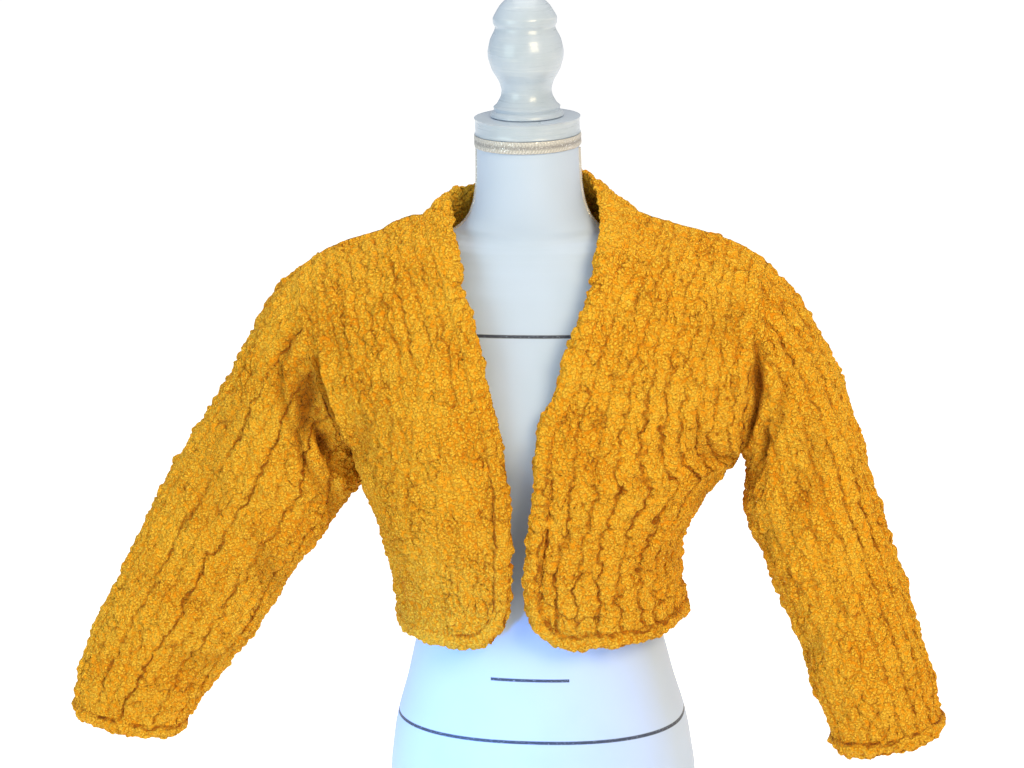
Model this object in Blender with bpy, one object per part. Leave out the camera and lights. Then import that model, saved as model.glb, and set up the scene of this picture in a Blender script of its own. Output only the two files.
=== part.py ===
"""Cropped open-front cardigan, hand-knit in thick chenille yarn, on a table-top dress form.

The garment is built as its maker makes it: a back, two fronts, two sleeves, two cuffs, an edging along
each front and its hem, an edging along the back hem, and a collar. Each panel is a knitted wall with
raised ribs on its outer face. The dress form is a smooth padded torso on a board, with a braid round
the neck, a neck cap and a turned finial.

Tables and sizes are in millimetres; the meshes are in metres. +X is the wearer's left, the front faces
-Y, +Z is up, and the origin is the middle of the board's underside. Side seams and shoulder seams lie
in the plane y = 0, and each armhole lies in a plane of its own.
"""

import math

import bmesh
import bpy
import numpy as np

MM = 0.001
SEAM_GAP = 0.3  # between neighbouring pieces
WALL = 12.0  # thickness of the knit under its ribs
RIB_HEIGHT = 4.0  # how far a rib stands above the groove beside it
RIB_STEPS = 3  # mesh columns per rib: one in the groove, two on its top
FRONT_RIBS = 10
BACK_RIBS = 22
SLEEVE_RIBS = 16
PANEL_ROWS = 17
SLEEVE_ROWS = 14
INNER_ROW_STEP = 2  # the plain inside has a row for every second row outside
EDGING_WIDTH = 22.0  # crocheted edging along the fronts and hem
EDGING_TURN = 4.0  # degrees by which the edging flares
CUFF_WIDTH = 24.0
CUFF_TURN = -38.0  # the cuff draws in
CUFF_POINTS = 32
UNDERARM = 0.36  # height share t at which the side seam ends and the armhole begins
COLLAR_START = 0.84  # height share t on the front edge at which the collar begins
CORNER_SPAN = 0.2  # share of the front's width taken by its round lower corner
CORNER_RISE = 0.1  # height share t that the round corner takes
NECK_SHARE = 18 / 66  # share of the back's width from an armhole to the neck point
SHOULDER_START = 0.62  # height share t above which a row starts to take the shoulder seam's shape
END_RISE = 0.3  # how far a row's height change reaches in from each of its ends
EVEN_SPACING = 0.7  # how strongly the columns are spread evenly along a row
LEAST_LEAN = 0.05  # a rib that leans less than this towards an armhole's plane has room enough
STEP = 1e-3  # share of a surface over which its slope is taken
COLLAR_ROUNDS = 3  # rounds of evening out the collar's directions

YARN = ("chenille", (0.83, 0.42, 0.03, 1.0), 0.95, 0.0)
COVER = ("jersey", (0.80, 0.84, 0.88, 1.0), 0.75, 0.0)
PAINT = ("white_paint", (0.82, 0.86, 0.90, 1.0), 0.35, 0.0)
BRAID = ("braid", (0.78, 0.76, 0.74, 1.0), 0.6, 0.1)


def table(names, *rows):
    """A table as a dict of columns."""
    return {name: np.array(column, float) for name, column in zip(names.split(), zip(*rows))}


# Front edge of each front panel, from hem (t = 0) to neck point (t = 1). lead and tail say how far the
# cross-section keeps its direction at the edge and at the side, turn its direction there in degrees.
FRONT = table(
    "t     right_x left_x   y     z   lead lead_turn tail tail_turn",
    (0.00, -32, 18, -131, 252, 0.46, 4, 0.44, 0),
    (0.10, -32, 18, -135, 302, 0.46, 3, 0.44, 0),
    (0.22, -29, 23, -141, 358, 0.46, 1, 0.44, 0),
    (0.36, -29, 33, -147, 425, 0.45, -2, 0.44, 8),
    (0.50, -37, 38, -149, 490, 0.43, -3, 0.40, 38),
    (0.54, -43, 45, -147, 509, 0.43, -2, 0.39, 44),
    (0.57, -47, 57, -145, 523, 0.42, 0, 0.38, 49),
    (0.64, -59, 70, -138, 556, 0.40, 3, 0.36, 60),
    (0.76, -72, 86, -117, 610, 0.36, 6, 0.33, 72),
    (0.86, -88, 101, -88, 658, 0.34, 6, 0.32, 80),
    (0.94, -107, 114, -48, 694, 0.33, 3, 0.32, 86),
    (1.00, -120, 120, 0, 713, 0.33, 0, 0.33, 90),
)

# Side seam of each side, from hem to underarm.
SIDE = table(
    "t     right_x right_z left_x left_z",
    (0.00, -171, 246, 175, 256),
    (0.10, -176, 290, 170, 296),
    (0.20, -186, 340, 173, 340),
    (0.29, -198, 388, 199, 388),
    (0.36, -212, 436, 237, 438),
)

# Middle of the back, from hem to back neck.
BACK = table(
    "t      y    z   lead tail tail_turn",
    (0.00, 110, 246, 0.48, 0.44, 0),
    (0.22, 114, 335, 0.48, 0.44, 0),
    (0.36, 117, 405, 0.48, 0.44, 8),
    (0.50, 118, 470, 0.46, 0.40, 38),
    (0.64, 117, 540, 0.42, 0.36, 60),
    (0.76, 114, 600, 0.38, 0.33, 72),
    (0.86, 106, 652, 0.36, 0.32, 80),
    (0.94, 93, 687, 0.34, 0.32, 86),
    (1.00, 85, 709, 0.33, 0.33, 90),
)

# Top line of each shoulder, from neck point to sleeve head.
SHOULDER = table(
    "x  right_z left_z",
    (120, 711, 716),
    (145, 702, 707),
    (170, 693, 700),
    (217, 678, 686),
    (245, 664, 673),
    (265, 649, 658),
)

# Sleeve rings: outer and inner point of each, half its depth and how far it lies forward.
SLEEVES = {
    "right": table(
        "v    outer_x outer_z inner_x inner_z depth forward",
        (0.00, -265, 649, -212, 436, 78, 0),
        (0.07, -300, 616, -219, 431, 77, 0),
        (0.15, -326, 576, -222, 421, 74, 1),
        (0.24, -350, 531, -222, 409, 70, 3),
        (0.33, -381, 484, -221, 389, 65, 5),
        (0.44, -421, 426, -240, 344, 58, 8),
        (0.56, -458, 361, -287, 286, 53, 11),
        (0.68, -494, 291, -330, 219, 50, 14),
        (0.80, -530, 225, -373, 165, 47, 17),
        (0.91, -558, 160, -409, 120, 45, 19),
        (1.00, -566, 117, -430, 92, 43, 21),
    ),
    "left": table(
        "v    outer_x outer_z inner_x inner_z depth forward",
        (0.00, 265, 658, 237, 438, 78, 0),
        (0.07, 301, 623, 242, 431, 78, 0),
        (0.15, 330, 584, 243, 421, 77, 1),
        (0.24, 351, 542, 242, 408, 75, 3),
        (0.33, 367, 497, 240, 389, 73, 5),
        (0.44, 385, 440, 242, 364, 70, 8),
        (0.56, 403, 376, 258, 320, 67, 11),
        (0.68, 424, 307, 280, 262, 63, 14),
        (0.80, 445, 239, 300, 204, 60, 17),
        (0.91, 463, 172, 321, 146, 56, 19),
        (1.00, 471, 128, 343, 99, 52, 21),
    ),
}

# Collar from its right front end (q = 0) round the back neck to its left front end (q = 1).
COLLAR = table(
    "q     height turn",
    (0.00, 23, 4),
    (0.14, 36, 28),
    (0.28, 43, 62),
    (0.40, 40, 48),
    (0.50, 44, 36),
    (0.60, 52, 34),
    (0.72, 58, 40),
    (0.86, 36, 18),
    (1.00, 23, 4),
)

# Torso rings of the dress form. drop lowers a ring at its sides, power squares its outline, pinch
# flattens it towards its sides.
TORSO = table(
    "z   half_width front back drop power pinch",
    (18.3, 176, -108, 110, 0, 2.3, 0),
    (30, 182, -113, 116, 0, 2.3, 0),
    (70, 178, -113, 118, 0, 2.3, 0),
    (110, 171, -110, 116, 0, 2.3, 0),
    (155, 158, -104, 108, 0, 2.3, 0),
    (203, 146, -98, 98, 0, 2.3, 0),
    (255, 130, -92, 88, 0, 2.3, 0),
    (310, 121, -90, 80, 0, 2.3, 0),
    (360, 125, -96, 82, 0, 2.3, 0),
    (410, 135, -108, 88, 0, 2.3, 0),
    (450, 146, -120, 92, 0, 2.3, 0),
    (480, 151, -125, 94, 0, 2.3, 0),
    (520, 156, -118, 96, 0, 2.3, 0),
    (560, 161, -104, 98, 0, 2.3, 0),
    (600, 169, -90, 95, 0, 2.3, 0),
    (634, 180, -76, 84, 1, 2.1, 0.10),
    (656, 184, -66, 74, 2, 2.0, 0.60),
    (670, 178, -60, 66, 3, 2.0, 0.85),
    (679, 162, -57, 62, 3, 2.0, 0.81),
    (685, 138, -55, 59, 2, 2.0, 0.76),
    (689, 108, -54, 57, 1, 2.0, 0.50),
    (694, 87, -53, 57, 0, 2.0, 0.20),
    (702, 76, -53, 57, 0, 2.0, 0),
    (712, 68, -54, 57, 0, 2.0, 0),
    (727, 62, -55, 57, 0, 2.0, 0),
    (750, 58.3, -56, 57, 0, 2.0, 0),
    (806, 57, -57, 57, 0, 2.0, 0),
)
TORSO_POINTS = 36
BUST = {"x": 72.0, "z": 478.0, "forward": 12.0, "wide": 42.0, "high": 52.0}

CAP_PROFILE = ((0, 806.3), (57, 806.3), (58.5, 808), (58.5, 822), (57, 824.7), (0, 824.7))
FINIAL_PROFILE = (
    (0, 825), (39.7, 825), (39.7, 830), (36.5, 832), (37.5, 836), (34, 839), (29.5, 847), (28, 855),
    (31, 865), (38, 877), (42, 890), (42.3, 899), (39.5, 911), (34.5, 921), (33.5, 925), (35.6, 929),
    (35.6, 935), (33, 940), (28, 948), (21, 955), (11, 960.5), (0, 962),
)
TRIM_PROFILE = (
    (57.7, 792), (60.2, 793), (60.6, 796), (59.2, 798.5),
    (59.2, 801), (60.6, 803.5), (60.2, 805.5), (57.7, 806),
)
BOARD = {"half_width": 170.0, "front": -102.0, "back": 104.0, "top": 18.0, "power": 2.3, "round": 3.0}


def smooth(tab, key, column, at):
    """Reads a column at any key value, on a smooth curve through the table's rows."""
    x, y = tab[key], tab[column]
    slope = np.gradient(y, x)
    at = np.clip(np.asarray(at, float), x[0], x[-1])
    i = np.clip(np.searchsorted(x, at, side="right") - 1, 0, len(x) - 2)
    step = x[i + 1] - x[i]
    f = (at - x[i]) / step
    return (
        y[i] * (1 + 2 * f) * (1 - f) ** 2
        + slope[i] * step * f * (1 - f) ** 2
        + y[i + 1] * f * f * (3 - 2 * f)
        + slope[i + 1] * step * f * f * (f - 1)
    )


def unit(v):
    """Vectors scaled to length 1."""
    return v / np.maximum(np.linalg.norm(v, axis=-1, keepdims=True), 1e-12)


def points(x, y, z):
    """Stacks coordinates into points."""
    return np.stack(np.broadcast_arrays(x, y, z), axis=-1).astype(float)


def sign(side):
    """Direction of a side along X."""
    return -1.0 if side == "right" else 1.0


def armhole_ends(side):
    """The armhole's highest and lowest point, at the sleeve head and the underarm."""
    ring = SLEEVES[side]
    return tuple(points(ring[end + "_x"][0], 0, ring[end + "_z"][0]) for end in ("outer", "inner"))


def armhole(side, phi, facing):
    """A point of the armhole, a flat oval: phi is 0 at the sleeve head and pi at the underarm."""
    top, under = armhole_ends(side)
    along = np.cos(phi)[..., None] * (top - under) / 2
    return (top + under) / 2 + along + points(0, facing * SLEEVES[side]["depth"][0] * np.sin(phi), 0)


def armhole_normal(side, phi, facing):
    """Outward direction in the armhole's own plane."""
    top, under = armhole_ends(side)
    tall, deep = np.linalg.norm(top - under) / 2, SLEEVES[side]["depth"][0]
    return unit(np.cos(phi)[..., None] * unit(top - under) * deep + points(0, facing * np.sin(phi) * tall, 0))


def armhole_axis(side):
    """Direction square to the armhole's plane, away from the body."""
    top, under = armhole_ends(side)
    up = unit(top - under)
    return sign(side) * points(up[2], 0, -up[0])


def armhole_angle(t):
    """The armhole angle that belongs to height share t."""
    return math.pi * (1 - np.clip((t - UNDERARM) / (1 - UNDERARM), 0, 1))


def side_line(side, t, facing):
    """Outer end of a panel's row: the side seam, then the armhole."""
    seam = points(smooth(SIDE, "t", side + "_x", t), 0, smooth(SIDE, "t", side + "_z", t))
    return np.where((t < UNDERARM)[..., None], seam, armhole(side, armhole_angle(t), facing))


def shoulder_line(side, share):
    """The shoulder seam from neck point (share 0) to sleeve head (share 1)."""
    x = SHOULDER["x"]
    run = np.linspace(x[0], x[-1], 60)
    rise = smooth(SHOULDER, "x", side + "_z", run)
    far = np.concatenate([[0], np.cumsum(np.hypot(np.diff(run), np.diff(rise)))])
    at = np.interp(share, far / far[-1], run)
    return points(sign(side) * at, 0, smooth(SHOULDER, "x", side + "_z", at))


def curve(a, b, c, d, share):
    """A cubic curve with these four control points."""
    s = share[..., None]
    return a * (1 - s) ** 3 + 3 * b * s * (1 - s) ** 2 + 3 * c * s * s * (1 - s) + d * s**3


def half_row(start, end, side, facing, tab, t, share, lead_turn):
    """A cross-section from a panel's middle edge to its side, evenly spaced along its length."""
    lead, tail = smooth(tab, "t", "lead", t), smooth(tab, "t", "tail", t)
    turn_in = np.radians(lead_turn)
    turn_out = np.radians(smooth(tab, "t", "tail_turn", t))
    span = np.linalg.norm(end - start, axis=-1)
    rise = (end - start)[..., 2]
    lead_x, lead_y = lead * span * np.cos(turn_in), lead * span * np.sin(turn_in)
    tail_x, tail_y = tail * span * np.sin(turn_out), tail * span * np.cos(turn_out)
    first = start + points(sign(side) * lead_x, -facing * lead_y, END_RISE * rise)
    second = end + points(-sign(side) * tail_x, facing * tail_y, -END_RISE * rise)
    even = EVEN_SPACING * (1.5 * (lead + tail) - 1)
    share = share - even * np.sin(2 * math.pi * share) / (2 * math.pi)
    return curve(start, first, second, end, share)


def shoulder_blend(t):
    """How much of the shoulder seam's own shape a row takes."""
    return np.clip((t - SHOULDER_START) / (1 - SHOULDER_START), 0, 1) ** 2


def front_surface(side, u, t):
    """Outer face of a front: u from front edge to side, t from hem to shoulder."""
    u, t = np.broadcast_arrays(np.asarray(u, float), np.asarray(t, float))

    def row(at):
        start = points(*(smooth(FRONT, "t", column, at) for column in (side + "_x", "y", "z")))
        end = side_line(side, at, -1.0)
        return half_row(start, end, side, -1.0, FRONT, at, u, smooth(FRONT, "t", "lead_turn", at))

    top = np.ones_like(t)
    return row(t) + shoulder_blend(t)[..., None] * (shoulder_line(side, u) - row(top))


def back_surface(u, t):
    """Outer face of the back: u from right side to left side, t from hem to shoulder and back neck."""
    u, t = np.broadcast_arrays(np.asarray(u, float), np.asarray(t, float))
    right = u < 0.5
    share = np.abs(2 * u - 1)

    def row(at):
        start = points(0, smooth(BACK, "t", "y", at), smooth(BACK, "t", "z", at))
        flat = np.zeros_like(at)
        ends = {side: side_line(side, at, 1.0) for side in SLEEVES}
        halves = [half_row(start, end, side, 1.0, BACK, at, share, flat) for side, end in ends.items()]
        return np.where(right[..., None], *halves)

    top = np.ones_like(t)
    return row(t) + shoulder_blend(t)[..., None] * (back_top(u) - row(top))


def back_top(u):
    """Top edge of the back: right shoulder, back neck, left shoulder."""
    share = np.minimum(u, 1 - u)
    side = np.where(u < 0.5, -1.0, 1.0)
    along = np.clip(1 - share / NECK_SHARE, 0, 1)
    seam = np.where((u < 0.5)[..., None], shoulder_line("right", along), shoulder_line("left", along))
    angle = np.clip((share - NECK_SHARE) / (0.5 - NECK_SHARE), 0, 1) * math.pi / 2
    neck_x = SHOULDER["x"][0]
    neck_z = np.where(u < 0.5, SHOULDER["right_z"][0], SHOULDER["left_z"][0])
    back_y, sink = BACK["y"][-1], BACK["z"][-1] - neck_z
    neck = points(side * neck_x * np.cos(angle), back_y * np.sin(angle), neck_z + sink * np.sin(angle))
    return np.where((share < NECK_SHARE)[..., None], seam, neck)


def sleeve_surface(side, phi, v):
    """Outer face of a sleeve: phi round it from the sleeve head by way of the front, v along it."""
    ring = SLEEVES[side]
    outer = points(smooth(ring, "v", "outer_x", v), 0, smooth(ring, "v", "outer_z", v))
    inner = points(smooth(ring, "v", "inner_x", v), 0, smooth(ring, "v", "inner_z", v))
    depth, forward = smooth(ring, "v", "depth", v), smooth(ring, "v", "forward", v)
    across = np.cos(phi)[..., None] * (outer - inner) / 2
    return (outer + inner) / 2 + across + points(0, -forward - depth * np.sin(phi), 0)


def surface_normal(surface, u, t, outward):
    """Outward normals of a surface, from small steps along it."""
    across = surface(np.minimum(u + STEP, 1), t) - surface(np.maximum(u - STEP, 0), t)
    along = surface(u, np.minimum(t + STEP, 1)) - surface(u, np.maximum(t - STEP, 0))
    return outward * unit(np.cross(across, along))


def corner_start(u):
    """Height share at which a front starts, raised near its edge by the round corner."""
    near = np.clip(1 - u / CORNER_SPAN, 0, 1)
    return CORNER_RISE * (1 - np.sqrt(1 - near**2))


class Solid:
    """Vertices and faces of one closed body."""

    def __init__(self):
        self.vertices, self.faces = [], []

    def add(self, array):
        """Adds a row or grid of points and returns their numbers in the same layout."""
        flat = array.reshape(-1, 3)
        first = len(self.vertices)
        self.vertices.extend(flat.tolist())
        return np.arange(first, first + len(flat)).reshape(array.shape[:-1])

    def skin(self, numbers, closed=False):
        """Quads over a grid of vertex numbers."""
        if closed:
            numbers = np.concatenate([numbers, numbers[:, :1]], axis=1)
        for low, high in zip(numbers[:-1], numbers[1:]):
            self.faces += [(low[i], low[i + 1], high[i + 1], high[i]) for i in range(len(low) - 1)]

    def zip_loops(self, a, b, at_a, at_b, whole):
        """Triangles between two closed loops, their points at rising places along a whole turn."""
        i = j = 0
        last_a, last_b = len(a), len(b)
        place_a, place_b = [*at_a, whole + at_a[0]], [*at_b, whole + at_b[0]]
        while i < last_a or j < last_b:
            if j == last_b or (i < last_a and place_a[i + 1] <= place_b[j + 1]):
                self.faces.append((a[i], a[(i + 1) % last_a], b[j % last_b]))
                i += 1
            else:
                self.faces.append((a[i % last_a], b[(j + 1) % last_b], b[j]))
                j += 1

    def build(self, name, finish, sharp=50.0):
        """Makes the body a Blender object, its faces pointing out."""
        mesh = bpy.data.meshes.new(name)
        faces = [tuple(map(int, face)) for face in self.faces]
        mesh.from_pydata((np.array(self.vertices) * MM).tolist(), [], faces)
        shape = bmesh.new()
        shape.from_mesh(mesh)
        bmesh.ops.recalc_face_normals(shape, faces=shape.faces)
        if shape.calc_volume(signed=True) < 0:
            bmesh.ops.reverse_faces(shape, faces=shape.faces)
        bmesh.ops.triangulate(shape, faces=shape.faces, quad_method="SHORT_EDGE")
        shape.to_mesh(mesh)
        shape.free()
        mesh.shade_smooth()
        mesh.set_sharp_from_angle(angle=math.radians(sharp))
        mesh.materials.append(material(*finish))
        thing = bpy.data.objects.new(name, mesh)
        bpy.context.scene.collection.objects.link(thing)


def material(name, colour, roughness, metallic):
    """A plain finish, made once and shared."""
    found = bpy.data.materials.get(name)
    if found:
        return found
    made = bpy.data.materials.new(name)
    made.use_nodes = True
    shader = made.node_tree.nodes["Principled BSDF"]
    shader.inputs["Base Color"].default_value = colour
    shader.inputs["Roughness"].default_value = roughness
    shader.inputs["Metallic"].default_value = metallic
    return made


def edge_loop(numbers):
    """Boundary of a grid as one loop."""
    return np.concatenate([numbers[0, :-1], numbers[:-1, -1], numbers[-1, :0:-1], numbers[:0:-1, 0]])


def loop_places(rows, columns):
    """Places of edge_loop's points, each side of the grid being 1 long."""
    return np.concatenate([columns[:-1], 1 + rows[:-1], 2 + (1 - columns[:0:-1]), 3 + (1 - rows[:0:-1])])


def rib_rise(count, with_last):
    """Height of the ribs over each mesh column."""
    return np.where(np.arange(count + with_last) % RIB_STEPS == 0, 0.0, RIB_HEIGHT)


def rib_room(side, outer, normal, away):
    """How far ribs can rise before they meet the armhole's plane, from its inner or outer side."""
    depth = away * np.sum((outer - armhole_ends(side)[0]) * armhole_axis(side), axis=-1)
    leaning = -away * np.sum(normal * armhole_axis(side), axis=-1)
    return np.clip(depth - SEAM_GAP, 0, None) / np.clip(leaning, LEAST_LEAN, None)


def knit_panel(name, outer, normal, rows, columns, armholes):
    """A panel's wall: ribbed outside, plain inside, closed round its edge."""
    rise = np.zeros(outer.shape[:2])
    rise[1:-1] = rib_rise(len(columns) - 1, True)
    for side in armholes:
        rise = np.minimum(rise, rib_room(side, outer, normal, -1.0))
    body = Solid()
    face = body.add(outer + rise[..., None] * normal)
    body.skin(face)
    rim = edge_loop(face)
    layer = outer - WALL * normal
    inner_rim = body.add(edge_loop(layer))
    body.skin(np.array([np.append(rim, rim[0]), np.append(inner_rim, inner_rim[0])]))
    keep_rows = np.arange(INNER_ROW_STEP, len(rows) - 1, INNER_ROW_STEP)
    keep_columns = np.arange(RIB_STEPS, len(columns) - 1, RIB_STEPS)
    lining = body.add(layer[np.ix_(keep_rows, keep_columns)])
    body.skin(lining)
    body.zip_loops(
        inner_rim,
        edge_loop(lining),
        loop_places(rows, columns),
        loop_places(rows[keep_rows], columns[keep_columns]),
        4,
    )
    body.build(name, YARN)


def seam_normals(side, line):
    """Outward directions along a side or shoulder seam, in the seam's plane and square to the seam."""
    along = path_tangent(line)
    normal = unit(points(-along[:, 2], 0, along[:, 0]))
    return normal * np.sign(normal[:, :1] * sign(side) + normal[:, 2:])


def panel_rows():
    """Height shares of the panels' rows, with one at the underarm."""
    below = round(PANEL_ROWS * UNDERARM)
    above = np.linspace(UNDERARM, 1, PANEL_ROWS - below + 1)
    return np.concatenate([np.linspace(0, UNDERARM, below + 1)[:-1], above])


def armhole_edge(side, outer, normal, column, facing, rows):
    """Puts a panel's side edge on its seams: the seam plane below, the armhole's plane above."""
    above = np.arange(len(rows)) >= np.argmin(np.abs(rows - UNDERARM))
    half_gap = SEAM_GAP / 2 * points(0, facing, 0)
    normal[~above, column] = seam_normals(side, outer[~above, column])
    normal[above, column] = armhole_normal(side, armhole_angle(rows[above]), facing)
    outer[~above, column] += half_gap
    outer[above, column] -= armhole_axis(side) * SEAM_GAP / 2
    outer[[np.argmax(above), -1], column] += half_gap


def front_grid(side):
    """Points and normals of a front's outer face, with its seams set back by half a gap."""
    rows = panel_rows()
    columns = np.linspace(0, 1, FRONT_RIBS * RIB_STEPS + 1)
    height, width = np.meshgrid(rows, columns, indexing="ij")
    height = corner_start(width) + (1 - corner_start(width)) * height

    def surface(u, t):
        return front_surface(side, u, t)

    outer = surface(width, height)
    normal = surface_normal(surface, width, height, sign(side))
    normal[-1] = seam_normals(side, outer[-1])
    outer[-1, :-1, 1] -= SEAM_GAP / 2
    armhole_edge(side, outer, normal, -1, -1.0, rows)
    return rows, columns, outer, normal


def neck_columns(columns):
    """The back's columns that end on its neck edge, between the two neck points."""
    return np.flatnonzero(np.abs(columns - 0.5) < 0.5 - NECK_SHARE - STEP)


def back_grid():
    """Points and normals of the back's outer face, with its seams set back by half a gap."""
    rows = panel_rows()
    columns = np.linspace(0, 1, BACK_RIBS * RIB_STEPS + 1)
    height, width = np.meshgrid(rows, columns, indexing="ij")
    outer = back_surface(width, height)
    normal = surface_normal(back_surface, width, height, -1.0)
    middle, last, point = len(columns) // 2, len(columns) - 1, neck_columns(columns)[0] - 1
    for side, seam in (("right", np.arange(point + 1)), ("left", np.arange(last, last - point - 1, -1))):
        normal[-1, seam] = seam_normals(side, shoulder_line(side, np.linspace(1, 0, len(seam))))
        run = np.arange(seam[-1], middle, np.sign(middle - seam[-1]))
        turn = np.linspace(0, math.pi / 2, len(run) + 1)[:-1, None]
        normal[-1, run] = unit(normal[-1, seam[-1]] * np.cos(turn) + normal[-1, middle] * np.sin(turn))
        outer[-1, seam[1:], 1] += SEAM_GAP / 2
    armhole_edge("right", outer, normal, 0, 1.0, rows)
    armhole_edge("left", outer, normal, -1, 1.0, rows)
    return rows, columns, outer, normal


def knit_sleeve(side):
    """A sleeve: a ribbed tube from the armhole's plane to the cuff's."""
    count = SLEEVE_RIBS * RIB_STEPS
    share = np.arange(count) / count
    v, around = np.meshgrid(np.linspace(0, 1, SLEEVE_ROWS + 1), share, indexing="ij")

    def surface(u, t):
        return sleeve_surface(side, 2 * math.pi * u, t)

    outer = surface(around, v)
    across = surface(around + STEP, v) - surface(around - STEP, v)
    along = surface(around, np.minimum(v + STEP, 1)) - surface(around, np.maximum(v - STEP, 0))
    normal = unit(np.cross(across, along))
    normal *= np.sign(np.sum(normal * (outer - outer.mean(axis=1, keepdims=True)), axis=-1, keepdims=True))
    normal[0] = ring_normal(outer[0])
    normal[-1] = ring_normal(outer[-1])
    outer[0] += armhole_axis(side) * SEAM_GAP / 2
    rise = np.zeros(v.shape)
    rise[1:-1] = rib_rise(count, False)
    rise = np.minimum(rise, rib_room(side, outer, normal, 1.0))
    body = Solid()
    face = body.add(outer + rise[..., None] * normal)
    body.skin(face, closed=True)
    layer = outer - WALL * normal
    ends = [body.add(layer[0]), body.add(layer[-1])]
    body.skin(np.array([face[0], ends[0]]), closed=True)
    body.skin(np.array([face[-1], ends[1]]), closed=True)
    keep_rows = np.arange(1, SLEEVE_ROWS, INNER_ROW_STEP)
    keep_around = np.arange(0, count, RIB_STEPS)
    lining = body.add(layer[np.ix_(keep_rows, keep_around)])
    body.skin(lining, closed=True)
    body.zip_loops(ends[0], lining[0], share, share[keep_around], 1)
    body.zip_loops(ends[1], lining[-1], share, share[keep_around], 1)
    body.build("sleeve_" + side, YARN)


def ring_axis(ring):
    """Direction square to a flat ring's plane."""
    centre = ring.mean(axis=0)
    return unit(np.cross(ring[0] - centre, ring[len(ring) // 4] - centre))


def ring_normal(ring):
    """Outward normals of a flat ring, in its own plane."""
    tangent = unit(np.roll(ring, -1, axis=0) - np.roll(ring, 1, axis=0))
    normal = unit(np.cross(tangent, ring_axis(ring)))
    return normal * np.sign(np.sum(normal * (ring - ring.mean(axis=0))))


# Cross-section of an edging: share of its width, height over the panel's face, share of the wall below.
EDGING_SECTION = table(
    "out  over below",
    (0.00, 0.0, 0.0),
    (0.30, 4.0, 0.0),
    (0.74, 3.4, 0.0),
    (1.00, 0.0, 0.34),
    (1.00, 0.0, 0.72),
    (0.62, 0.0, 1.0),
    (0.00, 0.0, 1.0),
)


def evened(vectors, rounds):
    """Unit vectors along an open path, each but the end ones drawn towards its neighbours."""
    for _ in range(rounds):
        inner = unit(vectors[:-2] + 2 * vectors[1:-1] + vectors[2:])
        vectors = np.concatenate([vectors[:1], inner, vectors[-1:]])
    return vectors


def edging(name, path, normal, out, width, turn, closed=False, rounds=0):
    """A thick edging along a panel's edge, curving away from the panel's face by turn degrees."""
    width = np.broadcast_to(np.asarray(width, float), len(path))
    turn = np.radians(np.broadcast_to(np.asarray(turn, float), len(path)))
    foot = path - normal * WALL / 2 + out * SEAM_GAP
    even_out = evened(out, rounds)
    even_normal = evened(normal, rounds)
    even_normal = unit(even_normal - np.sum(even_normal * even_out, axis=-1, keepdims=True) * even_out)
    section = []
    for share, over, below in zip(*EDGING_SECTION.values()):
        angle = (turn * share)[:, None]
        reach = np.sin(angle) / turn[:, None] * width[:, None]
        lift = (1 - np.cos(angle)) / turn[:, None] * width[:, None]
        if share == 0:
            section.append(foot + normal * (WALL / 2 + over - below * WALL))
            continue
        side = np.cos(angle) * even_normal - np.sin(angle) * even_out
        section.append(foot + even_out * reach + even_normal * lift + side * (WALL / 2 + over - below * WALL))
    rings = np.stack(section, axis=1)
    body = Solid()
    numbers = body.add(rings)
    around = np.concatenate([numbers, numbers[:, :1]], axis=1)
    if closed:
        around = np.concatenate([around, around[:1]], axis=0)
    body.skin(around)
    if not closed:
        body.faces += [tuple(numbers[0]), tuple(numbers[-1])]
    body.build(name, YARN)


def path_tangent(path):
    """Directions along an open path."""
    return unit(np.gradient(path, axis=0))


def outward(path, normal, inside, level=()):
    """Directions in a panel's face that lead away from it at its edge; level ones lie in y = 0."""
    out = unit(np.cross(path_tangent(path), normal))
    out *= np.sign(np.sum(out * (path - inside)))
    for end in level:
        out[end, 1] = 0
        out[end] = unit(out[end])
    return out


def front_rim(front):
    """A front's edge from the side seam along the hem and up to the neck: points, normals, outward."""
    _, columns, outer, normal = front
    path = np.concatenate([outer[0, ::-1], outer[1:, 0]])
    facing = np.concatenate([normal[0, ::-1], normal[1:, 0]])
    inside = np.concatenate([outer[1, ::-1], outer[1:, 1]])
    return path, facing, outward(path, facing, inside, level=(0, -1))


def collar_row(front):
    """Place along a front's rim at which its edging ends and the collar begins."""
    rows, columns = front[0], front[1]
    return len(columns) - 1 + int(np.argmax(rows >= COLLAR_START))


def front_edging(side, front):
    """Edging from the side seam along the hem, round the corner and up the front edge to the collar."""
    path, facing, out = (part[: collar_row(front) + 1].copy() for part in front_rim(front))
    path[-1] -= unit(path[-1] - path[-2]) * SEAM_GAP / 2
    edging("edging_front_" + side, path, facing, out, EDGING_WIDTH, EDGING_TURN)


def back_edging(back):
    """Edging along the back hem."""
    _, _, outer, normal = back
    out = outward(outer[0], normal[0], outer[1], level=(0, -1))
    edging("edging_back", outer[0], normal[0], out, EDGING_WIDTH, EDGING_TURN)


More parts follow.
